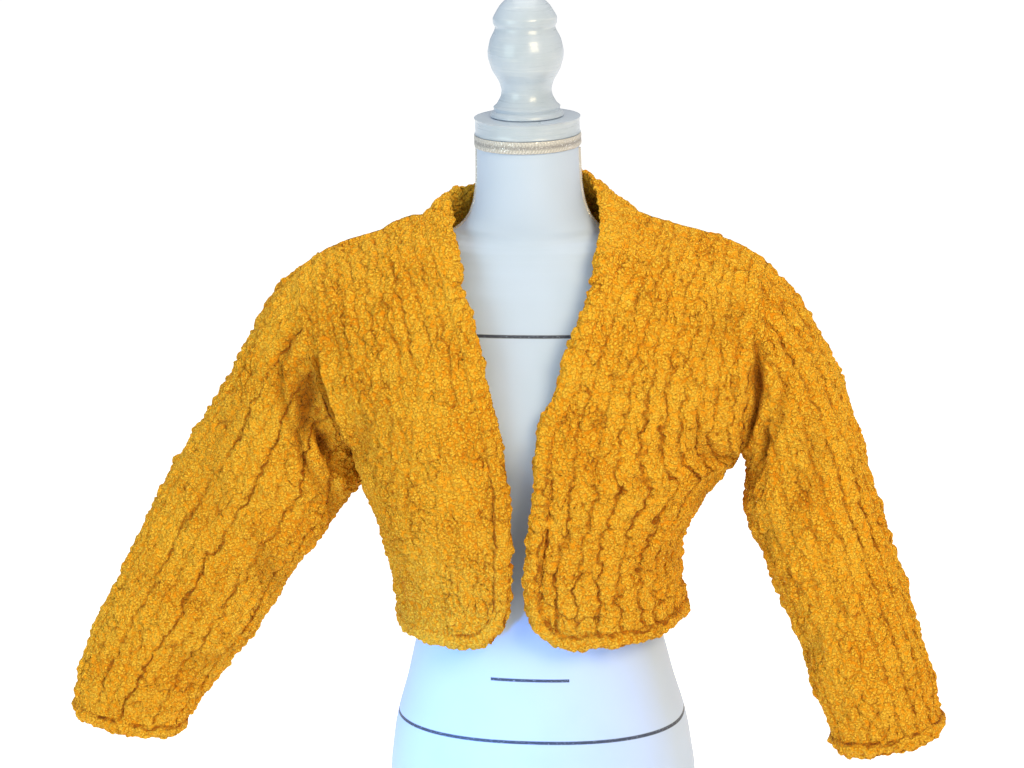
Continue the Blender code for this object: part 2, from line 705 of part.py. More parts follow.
def collar(fronts, back):
    """Collar from front edge to front edge round the back neck."""
    _, columns, back_outer, back_normal = back
    neck = neck_columns(columns)
    ends = {side: [part[collar_row(front) :] for part in front_rim(front)] for side, front in fronts.items()}
    path = np.concatenate([ends["right"][0], back_outer[-1, neck], ends["left"][0][::-1]])
    facing = np.concatenate([ends["right"][1], back_normal[-1, neck], ends["left"][1][::-1]])
    inside = path.copy()
    inside[len(path) // 2] = back_outer[-2, len(columns) // 2]
    out = outward(path, facing, inside)
    out[0], out[-1] = ends["right"][2][0], ends["left"][2][0]
    far = np.concatenate([[0], np.cumsum(np.linalg.norm(np.diff(path, axis=0), axis=1))])
    share = far / far[-1]
    path[0] += unit(path[1] - path[0]) * SEAM_GAP / 2
    path[-1] += unit(path[-2] - path[-1]) * SEAM_GAP / 2
    height, turn = smooth(COLLAR, "q", "height", share), smooth(COLLAR, "q", "turn", share)
    edging("collar", path, facing, out, height, turn, rounds=COLLAR_ROUNDS)


def cuff(side):
    """Edging round the end of a sleeve."""
    phi = np.arange(CUFF_POINTS) / CUFF_POINTS * 2 * math.pi
    ring = sleeve_surface(side, phi, np.ones(CUFF_POINTS))
    towards = ring - sleeve_surface(side, phi, np.full(CUFF_POINTS, 1 - STEP))
    axis = ring_axis(ring) * np.sign(np.sum(ring_axis(ring) * towards))
    out = np.broadcast_to(axis, ring.shape)
    edging("cuff_" + side, ring, ring_normal(ring), out, CUFF_WIDTH, CUFF_TURN, closed=True)


def oval(half_width, front, back, power, pinch, angle):
    """Outline of a body ring, deeper in front or behind as given."""
    across = np.sign(np.cos(angle)) * np.abs(np.cos(angle)) ** (2 / power)
    deep = np.where(np.sin(angle) < 0, -front, back) * (1 - pinch * across**2)
    return half_width * across, deep * np.sign(np.sin(angle)) * np.abs(np.sin(angle)) ** (2 / power)


def torso():
    """The form's padded body and neck in one."""
    angle = np.arange(TORSO_POINTS) / TORSO_POINTS * 2 * math.pi
    rings = []
    for z, half_width, front, back, drop, power, pinch in zip(*TORSO.values()):
        x, y = oval(half_width, front, back, power, pinch, angle)
        away = ((np.abs(x) - BUST["x"]) / BUST["wide"]) ** 2 + ((z - BUST["z"]) / BUST["high"]) ** 2
        y = y - np.where(y < 0, BUST["forward"] * np.exp(-away), 0)
        rings.append(points(x, y, z - drop * (x / half_width) ** 2))
    body = Solid()
    numbers = body.add(np.array(rings))
    body.skin(numbers, closed=True)
    body.faces += [tuple(numbers[0]), tuple(numbers[-1])]
    body.build("form_torso", COVER)


def turned(name, profile, finish, count=32, hollow=False):
    """A turned piece from its profile of radius and height; a hollow one is a ring."""
    angle = np.arange(count) / count * 2 * math.pi
    body = Solid()
    inner = [p for p in profile if p[0] > 0]
    rings = body.add(np.array([points(r * np.cos(angle), r * np.sin(angle), z) for r, z in inner]))
    body.skin(np.concatenate([rings, rings[:1]]) if hollow else rings, closed=True)
    if not hollow:
        for end, ring in ((profile[0], rings[0]), (profile[-1], rings[-1])):
            tip = body.add(np.array([[0.0, 0.0, end[1]]]))[0]
            body.faces += [(ring[i], ring[(i + 1) % count], tip) for i in range(count)]
    body.build(name, finish, sharp=40.0)


def board():
    """The flat board that the form stands on."""
    angle = np.arange(TORSO_POINTS) / TORSO_POINTS * 2 * math.pi
    rings = []
    top, edge = BOARD["top"], BOARD["round"]
    for z, inset in ((0, edge), (edge, 0), (top - edge, 0), (top, edge)):
        front, back = BOARD["front"] + inset, BOARD["back"] - inset
        x, y = oval(BOARD["half_width"] - inset, front, back, BOARD["power"], 0, angle)
        rings.append(points(x, y, z))
    body = Solid()
    numbers = body.add(np.array(rings))
    body.skin(numbers, closed=True)
    body.faces += [tuple(numbers[0]), tuple(numbers[-1])]
    body.build("form_board", PAINT, sharp=30.0)


def clear_scene():
    """Removes whatever the file holds."""
    for thing in list(bpy.data.objects):
        bpy.data.objects.remove(thing, do_unlink=True)


def main():
    """Builds every piece of the garment and the form."""
    clear_scene()
    fronts = {side: front_grid(side) for side in SLEEVES}
    back = back_grid()
    for side, (rows, columns, outer, normal) in fronts.items():
        knit_panel("front_" + side, outer, normal, rows, columns, (side,))
        front_edging(side, fronts[side])
        knit_sleeve(side)
        cuff(side)
    rows, columns, outer, normal = back
    knit_panel("back", outer, normal, rows, columns, ("right", "left"))
    back_edging(back)
    collar(fronts, back)
    torso()
    turned("form_neck_trim", TRIM_PROFILE, BRAID, count=TORSO_POINTS, hollow=True)
    turned("form_neck_cap", CAP_PROFILE, PAINT)
    turned("form_finial", FINIAL_PROFILE, PAINT)
    board()


main()
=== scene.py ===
"""Looks of a cropped cardigan, hand-knit in thick chenille yarn, on a table-top dress form.

Every knitted piece is a closed shell on the form of its solid: the outer face carries the columns of
stitches and the puffs along them, the inner face a softer copy. Tables and sizes are in millimetres, the
meshes in metres. +X is the wearer's left, the front faces -Y, +Z is up.
"""

import itertools
import logging
import math
from dataclasses import dataclass
from enum import Enum
from functools import partial
from typing import Callable

import bmesh
import bpy
import numpy as np
from mathutils import Matrix


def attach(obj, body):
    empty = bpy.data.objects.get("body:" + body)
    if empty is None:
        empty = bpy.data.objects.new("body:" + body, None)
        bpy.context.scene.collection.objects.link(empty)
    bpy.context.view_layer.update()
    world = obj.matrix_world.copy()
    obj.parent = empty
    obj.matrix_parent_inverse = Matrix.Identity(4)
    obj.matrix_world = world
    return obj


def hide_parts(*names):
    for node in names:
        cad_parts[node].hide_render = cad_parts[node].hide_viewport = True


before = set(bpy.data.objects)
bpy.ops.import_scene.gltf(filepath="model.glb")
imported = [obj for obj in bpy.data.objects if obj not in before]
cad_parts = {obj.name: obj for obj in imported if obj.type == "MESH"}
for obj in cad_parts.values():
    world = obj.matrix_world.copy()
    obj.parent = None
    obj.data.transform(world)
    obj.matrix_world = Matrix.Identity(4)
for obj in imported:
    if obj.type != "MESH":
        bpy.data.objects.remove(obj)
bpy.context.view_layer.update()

Array = np.ndarray
Table = dict[str, np.ndarray]
log = logging.getLogger("cardigan")

MM = 0.001
BODY = "root"
SEAM_OVERLAP = 1.8
WALL = 12.0
EDGING_WIDTH = 22.0
EDGING_TURN = 4.0
CUFF_TURN = -38.0
UNDERARM = 0.36
COLLAR_START = 0.84
COLLAR_OVERLAP = 5.0
CORNER_SPAN = 0.2
CORNER_RISE = 0.1
NECK_SHARE = 18 / 66
SHOULDER_START = 0.62
END_RISE = 0.3
EVEN_SPACING = 0.7
LEAST_LEAN = 0.05
STEP = 1e-3
SEAM_RISE = 1.6  # height of the stitches at a seam that doesn't show
INNER_STEP = 3  # the inner face has a row and a column for every third one outside
HOLD = (-3.0, 9.0)  # distances from a seam over which folds grow to their full depth
FOLD_DEPTH = 12.0  # a fold this deep has the full shade
FAR = 99.0
FULL_TURN = 2 * math.pi


class Side(Enum):
    """The wearer's sides."""

    RIGHT = "right"
    LEFT = "left"

    @property
    def sign(self) -> float:
        """Direction of the side along X."""
        return -1.0 if self is Side.RIGHT else 1.0


class Finish(Enum):
    """The record's material slots."""

    CHENILLE = "chenille"
    JERSEY = "jersey"
    BRAID = "braid"
    PAINT = "white_paint"


def table(names: str, *rows: tuple) -> Table:
    """Makes a dict of columns.

    Args:
        names: Column names, separated by spaces.
        rows: One tuple of numbers for each row.

    Returns:
        The columns by name.
    """
    return {name: np.array(column, float) for name, column in zip(names.split(), zip(*rows))}


FRONT = table(
    "t     right_x left_x   y     z   lead lead_turn tail tail_turn",
    (0.00, -32, 18, -131, 252, 0.46, 4, 0.44, 0),
    (0.10, -32, 18, -135, 302, 0.46, 3, 0.44, 0),
    (0.22, -29, 23, -141, 358, 0.46, 1, 0.44, 0),
    (0.36, -29, 33, -147, 425, 0.45, -2, 0.44, 8),
    (0.50, -37, 38, -149, 490, 0.43, -3, 0.40, 38),
    (0.54, -41, 42, -147, 509, 0.43, -2, 0.39, 44),
    (0.57, -44, 52, -145, 523, 0.42, 0, 0.38, 49),
    (0.64, -53, 64, -138, 556, 0.40, 3, 0.36, 60),
    (0.76, -68, 82, -117, 610, 0.36, 6, 0.33, 72),
    (0.86, -88, 101, -88, 658, 0.34, 6, 0.32, 80),
    (0.94, -107, 114, -48, 694, 0.33, 3, 0.32, 86),
    (1.00, -120, 120, 0, 713, 0.33, 0, 0.33, 90),
)
SIDE_SEAM = table(
    "t     right_x right_z left_x left_z",
    (0.00, -164, 246, 171, 256),
    (0.10, -168, 290, 166, 296),
    (0.20, -180, 340, 171, 340),
    (0.29, -198, 388, 199, 388),
    (0.36, -212, 436, 237, 438),
)
BACK = table(
    "t      y    z   lead tail tail_turn",
    (0.00, 110, 246, 0.48, 0.44, 0),
    (0.22, 114, 335, 0.48, 0.44, 0),
    (0.36, 117, 405, 0.48, 0.44, 8),
    (0.50, 118, 470, 0.46, 0.40, 38),
    (0.64, 117, 540, 0.42, 0.36, 60),
    (0.76, 114, 600, 0.38, 0.33, 72),
    (0.86, 106, 652, 0.36, 0.32, 80),
    (0.94, 93, 687, 0.34, 0.32, 86),
    (1.00, 85, 709, 0.33, 0.33, 90),
)
SHOULDER = table(
    "x  right_z left_z",
    (120, 711, 716),
    (145, 702, 707),
    (170, 693, 700),
    (217, 678, 686),
    (245, 664, 673),
    (265, 649, 658),
)
SLEEVES = {
    Side.RIGHT: table(
        "v    outer_x outer_z inner_x inner_z depth forward",
        (0.00, -265, 649, -212, 436, 78, 0),
        (0.07, -300, 616, -219, 431, 77, 0),
        (0.15, -326, 576, -222, 421, 74, 1),
        (0.24, -350, 531, -222, 409, 70, 3),
        (0.33, -381, 484, -221, 389, 65, 5),
        (0.44, -421, 426, -240, 344, 58, 8),
        (0.56, -458, 361, -287, 286, 53, 11),
        (0.68, -494, 291, -330, 219, 50, 14),
        (0.80, -530, 225, -373, 165, 47, 17),
        (0.91, -558, 160, -409, 120, 45, 19),
        (1.00, -566, 117, -430, 92, 43, 21),
    ),
    Side.LEFT: table(
        "v    outer_x outer_z inner_x inner_z depth forward",
        (0.00, 265, 658, 237, 438, 78, 0),
        (0.07, 301, 623, 242, 431, 78, 0),
        (0.15, 326, 584, 243, 421, 77, 1),
        (0.24, 346, 542, 242, 408, 75, 3),
        (0.33, 362, 497, 240, 389, 73, 5),
        (0.44, 380, 440, 242, 364, 70, 8),
        (0.56, 399, 376, 259, 320, 67, 11),
        (0.68, 421, 307, 284, 262, 63, 14),
        (0.80, 443, 239, 306, 204, 60, 17),
        (0.91, 462, 172, 325, 146, 56, 19),
        (1.00, 471, 128, 343, 99, 52, 21),
    ),
}
COLLAR = table(
    "q     height turn",
    (0.00, 23, 4),
    (0.14, 33, 28),
    (0.28, 37, 62),
    (0.40, 40, 48),
    (0.50, 44, 36),
    (0.60, 54, 34),
    (0.72, 61, 40),
    (0.86, 36, 18),
    (1.00, 23, 4),
)
EDGING_SECTION = table(
    "out  over below",
    (0.00, 0.0, 0.0),
    (0.30, 4.0, 0.0),
    (0.74, 3.4, 0.0),
    (1.00, 0.0, 0.34),
    (1.00, 0.0, 0.72),
    (0.62, 0.0, 1.0),
    (0.00, 0.0, 1.0),
)
TORSO = table(
    "z   half_width front back drop power pinch",
    (18.3, 176, -108, 110, 0, 2.3, 0),
    (30, 182, -113, 116, 0, 2.3, 0),
    (70, 178, -113, 118, 0, 2.3, 0),
    (110, 171, -110, 116, 0, 2.3, 0),
    (155, 158, -104, 108, 0, 2.3, 0),
    (203, 146, -98, 98, 0, 2.3, 0),
    (255, 130, -92, 88, 0, 2.3, 0),
    (310, 121, -90, 80, 0, 2.3, 0),
    (360, 125, -96, 82, 0, 2.3, 0),
    (410, 135, -108, 88, 0, 2.3, 0),
    (450, 146, -120, 92, 0, 2.3, 0),
    (480, 151, -125, 94, 0, 2.3, 0),
    (520, 156, -118, 96, 0, 2.3, 0),
    (560, 161, -104, 98, 0, 2.3, 0),
    (600, 169, -90, 95, 0, 2.3, 0),
    (634, 180, -76, 84, 1, 2.1, 0.10),
    (656, 184, -66, 74, 2, 2.0, 0.60),
    (670, 178, -60, 66, 3, 2.0, 0.85),
    (679, 162, -57, 62, 3, 2.0, 0.81),
    (685, 138, -55, 59, 2, 2.0, 0.76),
    (689, 108, -54, 57, 1, 2.0, 0.50),
    (694, 87, -53, 57, 0, 2.0, 0.20),
    (702, 76, -53, 57, 0, 2.0, 0),
    (712, 68, -54, 57, 0, 2.0, 0),
    (727, 62, -55, 57, 0, 2.0, 0),
    (750, 58.3, -56, 57, 0, 2.0, 0),
    (806, 57, -57, 57, 0, 2.0, 0),
)
BUST = {"x": 72.0, "z": 478.0, "forward": 12.0, "wide": 42.0, "high": 52.0}
CAP_PROFILE = ((0, 806.3), (57, 806.3), (58.5, 808), (58.5, 822), (57, 824.7), (0, 824.7))
FINIAL_PROFILE = (
    (0, 825), (39.7, 825), (39.7, 830), (36.5, 832), (37.5, 836), (34, 839), (29.5, 847), (28, 855),
    (31, 865), (38, 877), (42, 890), (42.3, 899), (39.5, 911), (34.5, 921), (33.5, 925), (35.6, 929),
    (35.6, 935), (33, 940), (28, 948), (21, 955), (11, 960.5), (0, 962),
)
NECK_BRAID = {"radius": 57.7, "height": 799.0, "half_width": 6.8, "clear": 0.5, "raised": 1.6, "strands": 52}
BOARD = {"half_width": 170.0, "front": -102.0, "back": 104.0, "top": 18.0, "power": 2.3, "round": 3.0}

# Folds of the cloth. Each runs from one point to another on its piece's face, in the
# face's own shares; depth is negative for a ridge; width and depth are in millimetres.
SLEEVE_FOLDS = {
    Side.RIGHT: table(
        "u0    v0    u1    v1    depth width",
        (0.25, 0.03, 0.43, 0.15, 15.0, 24),
        (0.16, 0.03, 0.30, 0.20, 6.0, 9),
        (0.30, 0.04, 0.40, 0.20, -6.0, 9),
        (0.34, 0.12, 0.44, 0.32, -5.0, 10),
        (0.29, 0.12, 0.40, 0.36, 6.0, 8),
        (0.37, 0.06, 0.47, 0.28, 6.0, 8),
        (0.40, 0.24, 0.49, 0.46, 5.0, 9),
        (0.46, 0.06, 0.53, 0.20, -12.0, 22),
        (0.49, 0.17, 0.57, 0.36, -12.0, 18),
        (0.44, 0.26, 0.56, 0.34, -9.0, 24),
        (0.94, 0.04, 1.06, 0.04, -4.0, 34),
        (0.12, 0.22, 0.22, 0.52, 3.0, 16),
        (0.33, 0.52, 0.49, 0.60, 4.0, 14),
        (0.30, 0.80, 0.46, 0.74, 3.5, 14),
        (0.56, 0.06, 0.74, 0.22, 6.5, 12),
        (0.62, 0.03, 0.82, 0.12, 5.0, 11),
        (0.55, 0.24, 0.70, 0.40, 5.0, 13),
        (0.54, 0.56, 0.70, 0.50, 3.5, 15),
        (0.60, 0.78, 0.72, 0.70, 3.0, 15),
    ),
    Side.LEFT: table(
        "u0    v0    u1    v1    depth width",
        (0.21, 0.018, 0.40, 0.02, 14.0, 8),
        (0.18, 0.07, 0.36, 0.06, -4.0, 12),
        (0.20, 0.12, 0.36, 0.17, 5.0, 14),
        (0.24, 0.02, 0.42, 0.20, 6.0, 11),
        (0.32, 0.12, 0.46, 0.30, 4.5, 12),
        (0.18, 0.26, 0.30, 0.50, 3.0, 18),
        (0.36, 0.48, 0.49, 0.56, 4.0, 14),
        (0.34, 0.74, 0.48, 0.82, 3.5, 15),
        (0.55, 0.05, 0.72, 0.20, 6.5, 12),
        (0.60, 0.02, 0.80, 0.10, 5.0, 12),
        (0.56, 0.30, 0.70, 0.42, 4.5, 14),
        (0.54, 0.62, 0.68, 0.55, 3.5, 15),
    ),
}
FRONT_FOLDS = {
    Side.RIGHT: table(
        "u0    v0    u1    v1    depth width",
        (0.98, 0.44, 0.62, 0.60, 3.5, 20),
        (0.90, 0.76, 0.775, 0.43, -5.0, 9),
        (0.965, 0.73, 0.86, 0.43, 9.0, 10),
        (0.94, 0.86, 0.70, 0.70, 3.0, 20),
        (0.95, 0.30, 0.60, 0.24, 2.5, 18),
        (0.05, 1.0, 0.30, 1.0, -4.0, 30),
    ),
    Side.LEFT: table(
        "u0    v0    u1    v1    depth width",
        (0.98, 0.40, 0.66, 0.56, 4.0, 18),
        (0.955, 0.42, 0.95, 0.70, -7.0, 11),
        (0.88, 0.03, 0.98, 0.06, -6.0, 20),
        (0.98, 0.30, 0.62, 0.34, 3.5, 16),
        (0.96, 0.20, 0.66, 0.16, 3.0, 16),
        (0.92, 0.84, 0.66, 0.74, 3.0, 20),
    ),
}
BACK_FOLDS = table(
    "u0    v0    u1    v1    depth width",
    (0.04, 0.42, 0.24, 0.56, 4.0, 18),
    (0.03, 0.30, 0.22, 0.30, 3.5, 16),
    (0.96, 0.42, 0.74, 0.58, 4.0, 18),
    (0.97, 0.28, 0.80, 0.26, 3.5, 16),
    (0.10, 0.86, 0.30, 0.74, 3.0, 20),
    (0.90, 0.86, 0.72, 0.72, 3.0, 20),
    (0.40, 0.14, 0.62, 0.18, 2.5, 22),
)


def smooth(tab: Table, key: str, column: str, at: Array) -> Array:
    """Reads a column at any key value, on a smooth curve through the table's rows.

    Args:
        tab: The table.
        key: Name of the key column, whose values rise.
        column: Name of the column to read.
        at: Key values.

    Returns:
        The column's value at each key value.
    """
    x, y = tab[key], tab[column]
    slope = np.gradient(y, x)
    at = np.clip(np.asarray(at, float), x[0], x[-1])
    i = np.clip(np.searchsorted(x, at, side="right") - 1, 0, len(x) - 2)
    step = x[i + 1] - x[i]
    f = (at - x[i]) / step
    return (
        y[i] * (1 + 2 * f) * (1 - f) ** 2
        + slope[i] * step * f * (1 - f) ** 2
        + y[i + 1] * f * f * (3 - 2 * f)
        + slope[i + 1] * step * f * f * (f - 1)
    )


def unit(v: Array) -> Array:
    """Vectors scaled to length 1."""
    return v / np.maximum(np.linalg.norm(v, axis=-1, keepdims=True), 1e-12)


def dot(a: Array, b: Array) -> Array:
    """Dot products, with the last axis kept."""
    return np.sum(a * b, axis=-1, keepdims=True)


def points(x: Array, y: Array, z: Array) -> Array:
    """Stacks coordinates into points."""
    return np.stack(np.broadcast_arrays(x, y, z), axis=-1).astype(float)


def ramp(value: Array, low: float, high: float) -> Array:
    """A soft step from 0 at low to 1 at high."""
    f = np.clip((value - low) / (high - low), 0, 1)
    return f * f * (3 - 2 * f)


def run_length(path: Array) -> Array:
    """Distance from the start to each point along the first axis."""
    steps = np.linalg.norm(np.diff(path, axis=0), axis=-1)
    return np.concatenate([np.zeros_like(steps[:1]), np.cumsum(steps, axis=0)])


def read_along(values: Array, far: Array, at: Array) -> Array:
    """Vectors at given distances along a path whose points lie far from its start."""
    return np.stack([np.interp(at, far, values[:, k]) for k in range(3)], axis=-1)


def round_angles(count: int) -> Array:
    """Evenly spread angles of a whole turn, in radians."""
    return np.arange(count) / count * FULL_TURN


def between(corners: tuple, share: Array | float) -> tuple[Array, Array]:
    """Points between the middle two of four corners.

    Args:
        corners: The four corners.
        share: How far along each point is.

    Returns:
        The points on a smooth curve through the corners, and on the straight line.
    """
    a, b, c, d = corners
    curved = (2 * a - 5 * b + 4 * c - d) * share**2 + (3 * b - a - 3 * c + d) * share**3
    return 0.5 * (2 * b + (c - a) * share + curved), b + (c - b) * share


def in_scene(name: str, data: bpy.types.ID) -> bpy.types.Object:
    """A new object with the given data, linked to the scene.

    Args:
        name: The object's name.
        data: Its mesh, light or camera.

    Returns:
        The object.
    """
    thing = bpy.data.objects.new(name, data)
    bpy.context.scene.collection.objects.link(thing)
    return thing


class Noise:
    """Smooth random values that are the same on every run."""

    CELLS = 32
    OFFSET = 5000.0
    GAIN = 1.7

    def __init__(self, seed: int) -> None:
        """Draws the lattice's directions from a seed.

        Args:
            seed: Number that the directions are drawn from.
        """
        draws = np.random.default_rng(seed)
        self.slopes = unit(draws.normal(size=(self.CELLS,) * 3 + (3,)))
        self.turn, _ = np.linalg.qr(draws.normal(size=(3, 3)))

    def at(self, place: Array, scale: float) -> Array:
        """Values from about -1 to 1 that change over a distance.

        Args:
            place: Points in millimetres.
            scale: The distance between lattice points in millimetres.

        Returns:
            One value for each point.
        """
        p = place @ self.turn / scale + self.OFFSET
        base = np.floor(p).astype(int)
        f = p - base
        fade = f * f * f * (f * (f * 6 - 15) + 10)
        total = np.zeros(place.shape[:-1])
        for corner in itertools.product((0, 1), repeat=3):
            cell = (base + corner) % self.CELLS
            weight = np.prod(np.where(corner, fade, 1 - fade), axis=-1)
            slope = self.slopes[cell[..., 0], cell[..., 1], cell[..., 2]]
            total += weight * np.sum(slope * (f - corner), axis=-1)
        return self.GAIN * total


class Cells:
    """Lumps round scattered seeds, the same on every run."""

    COUNT = 32

    def __init__(self, seed: int) -> None:
        """Scatters the seeds, one in each cube of a lattice.

        Args:
            seed: Number that the seeds' places are drawn from.
        """
        draws = np.random.default_rng(seed)
        self.seeds = draws.uniform(0.06, 0.94, size=(self.COUNT,) * 3 + (3,))
        self.turn, _ = np.linalg.qr(draws.normal(size=(3, 3)))

    def at(self, place: Array, scale: float) -> Array:
        """How far inside a lump each point is: 0 on the crack between two lumps.

        Args:
            place: Points in millimetres.
            scale: Size of a lump in millimetres.

        Returns:
            How much nearer the nearest seed is than the next, in lumps.
        """
        p = place @ self.turn / scale + Noise.OFFSET
        base = np.floor(p).astype(int)
        f = p - base
        near = np.full(place.shape[:-1], 9.0)
        following = near
        for corner in itertools.product((-1, 0, 1), repeat=3):
            cell = (base + corner) % self.COUNT
            seed = self.seeds[cell[..., 0], cell[..., 1], cell[..., 2]] + corner
            gap = np.linalg.norm(seed - f, axis=-1)
            following = np.minimum(following, np.maximum(near, gap))
            near = np.minimum(near, gap)
        return following - near


DRIFT, WANDER, WAVE, PUFF_DRAW, TUFT, FLECK = (Noise(seed) for seed in (11, 12, 13, 14, 16, 17))
LUMPS = Cells(21)
DRAWS = np.random.default_rng(5).random(4096)


def seam_hollow(seam: Array, edge: Array, face: Array) -> Array:
    """How much of a seam's hollow each point at a distance from the edge is in, from 0 to 1."""
    return seam * (1 - ramp(edge, 0, 4)) * np.clip(0.5 + 1.2 * TUFT.at(face, 12), 0.1, 1)


def draw(*keys: Array) -> Array:
    """A random number from 0 to 1 for each set of whole numbers.

    Args:
        keys: Whole numbers, one array for each key.

    Returns:
        The random numbers.
    """
    primes = (131, 1171, 337)
    total = sum(np.round(key).astype(int) * prime for key, prime in zip(keys, primes))
    return DRAWS[total % len(DRAWS)]


@dataclass(frozen=True)
class Knit:
    """How a knitted face stands out: columns of stitches and the puffs along them.

    Lengths are in millimetres. groove says how deep the grooves between columns go, every_other how
    deep every second one goes, and cross how deep those between puffs go, each as a share of rise. lump is
    the size of the clumps that the pile gathers in, and clump how far they stand out. sink is how far the
    whole face is set back, wander how much the columns waver, and border the height of a plain first row.
    lay is the direction of the columns, along which clumps of pile are longer.
    """

    puff: float = 18.0
    rise: float = 6.0
    groove: float = 1.0
    every_other: float = 1.0
    cross: float = 0.35
    clump: float = 3.4
    lump: float = 13.0
    sink: float = 4.2
    wander: float = 0.18
    border: float = 0.0
    lay: tuple[float, float, float] = (0.0, 0.0, 1.0)

    def relief(
        self, across: Array, along: Array, place: Array, wrap: int = 0, clear: Array | float = 1.0
    ) -> tuple[Array, Array]:
        """Height over the face, and the marks that its material draws grooves from.

        Args:
            across: Position across the columns, in columns.
            along: Position along the columns in millimetres.
            place: The points in millimetres.
            wrap: Number of columns after which they repeat, or 0.
            clear: How clearly the columns show.

        Returns:
            Height in millimetres, and at each point seven marks: the sine, cosine and depth of the
            column, the same of the puff, and how far inside its clump it is.
        """
        drift = DRIFT.at(place, 44) + WANDER.at(place, 15) + 0.5 * FLECK.at(place, 7)
        column = across + self.wander * drift
        index, line = np.floor(column), np.round(column)
        if wrap:
            index, line = index % wrap, line % wrap
        side = 2 * np.abs(column - np.round(column))
        depth = np.where(line % 2 == 0, self.groove, self.groove * self.every_other)
        depth = depth * np.clip(0.85 + 0.5 * WAVE.at(place, 55) + 0.3 * (draw(line) - 0.5), 0.15, 1) * clear
        past = along - self.border * (1 + 0.3 * DRIFT.at(place, 26) + 0.15 * WANDER.at(place, 11))
        pitch = past / self.puff * (0.9 + 0.2 * draw(index))
        pitch = pitch + (draw(index + 9) + 0.4 * PUFF_DRAW.at(place, 30)) * ramp(past, 0, 24)
        pitch = pitch + 0.12 * WANDER.at(place, 12)
        cell = np.round(pitch)
        crack = self.cross * (0.15 + 0.85 * draw(index, cell))
        if self.border:
            low = past < 0
            pitch = np.where(low, past / self.border, pitch)
            crack = np.where(low | (cell == 0), 0.25 + 0.6 * draw(index + 5), crack)
            depth = np.where(low, 0.75 + 0.25 * draw(line), depth)
        end = 2 * np.abs(pitch - np.round(pitch))
        rope, pillow = np.sqrt(1 - (1 - side) ** 2), np.sqrt(1 - (1 - end) ** 2)
        tall = 0.8 + 0.4 * draw(index, np.floor(pitch), index * 0 + 3)
        lay = unit(np.array(self.lay))
        sway = np.stack([WANDER.at(place, 17), TUFT.at(place, 17), FLECK.at(place, 17)], axis=-1)
        drawn = place - 0.38 * dot(place, lay) * lay + 3.0 * sway
        gap = LUMPS.at(drawn, self.lump)
        crisp = ramp(PUFF_DRAW.at(place, 26), -0.45, 0.35)
        dome = 1 - (1 - np.clip(gap / 0.55, 0, 1)) ** 2
        lumps = (0.45 + 0.85 * crisp) * dome + 0.5 * TUFT.at(place, 6.5)
        height = self.rise * tall * (1 - depth * (1 - rope)) * (1 - 0.6 * crack * (1 - pillow))
        height = height + self.clump * (lumps - 0.6) + 0.8 * FLECK.at(place, 3.6) - self.sink + 0.8
        marks = [np.sin(FULL_TURN * column), np.cos(FULL_TURN * column), depth]
        marks += [np.sin(FULL_TURN * pitch), np.cos(FULL_TURN * pitch), crack, gap + 0.5 * (1 - crisp)]
        return height, np.stack(marks, axis=-1)


def folded(
    face: Array, normal: Array, folds: Table, u: Array, v: Array, size: tuple[float, float]
) -> tuple[Array, Array]:
    """Presses folds into a face.

    Args:
        face: The face's points.
        normal: Its outward directions.
        folds: The folds in shares of the face.
        u: Share across the face at each point.
        v: Share along it.
        size: Its sizes across and along in millimetres.

    Returns:
        The points with the folds in them, and how far each is sunk in millimetres.
    """
    sunk = np.zeros(u.shape)
    girth, reach = size
    here = np.stack([u * girth, v * reach], axis=-1)
    for u0, v0, u1, v1, depth, width in zip(*folds.values()):
        start, end = np.array([u0 * girth, v0 * reach]), np.array([u1 * girth, v1 * reach])
        run = end - start
        length = np.linalg.norm(run)
        share = np.clip(((here - start) @ run) / length**2, -0.3, 1.3)
        bend = 0.1 * length * np.sin(math.pi * share)[..., None] * np.array([-run[1], run[0]]) / length
        away = np.linalg.norm(here - start - share[..., None] * run - bend, axis=-1)
        strength = ramp(share, -0.3, 0.25) * (1 - ramp(share, 0.6, 1.3))
        sunk += depth * strength * np.exp(-((away / width) ** 2))
    return face - sunk[..., None] * normal, sunk


MARKS = {"column": (0, 3), "puff": (3, 6), "clump": (6, 9)}


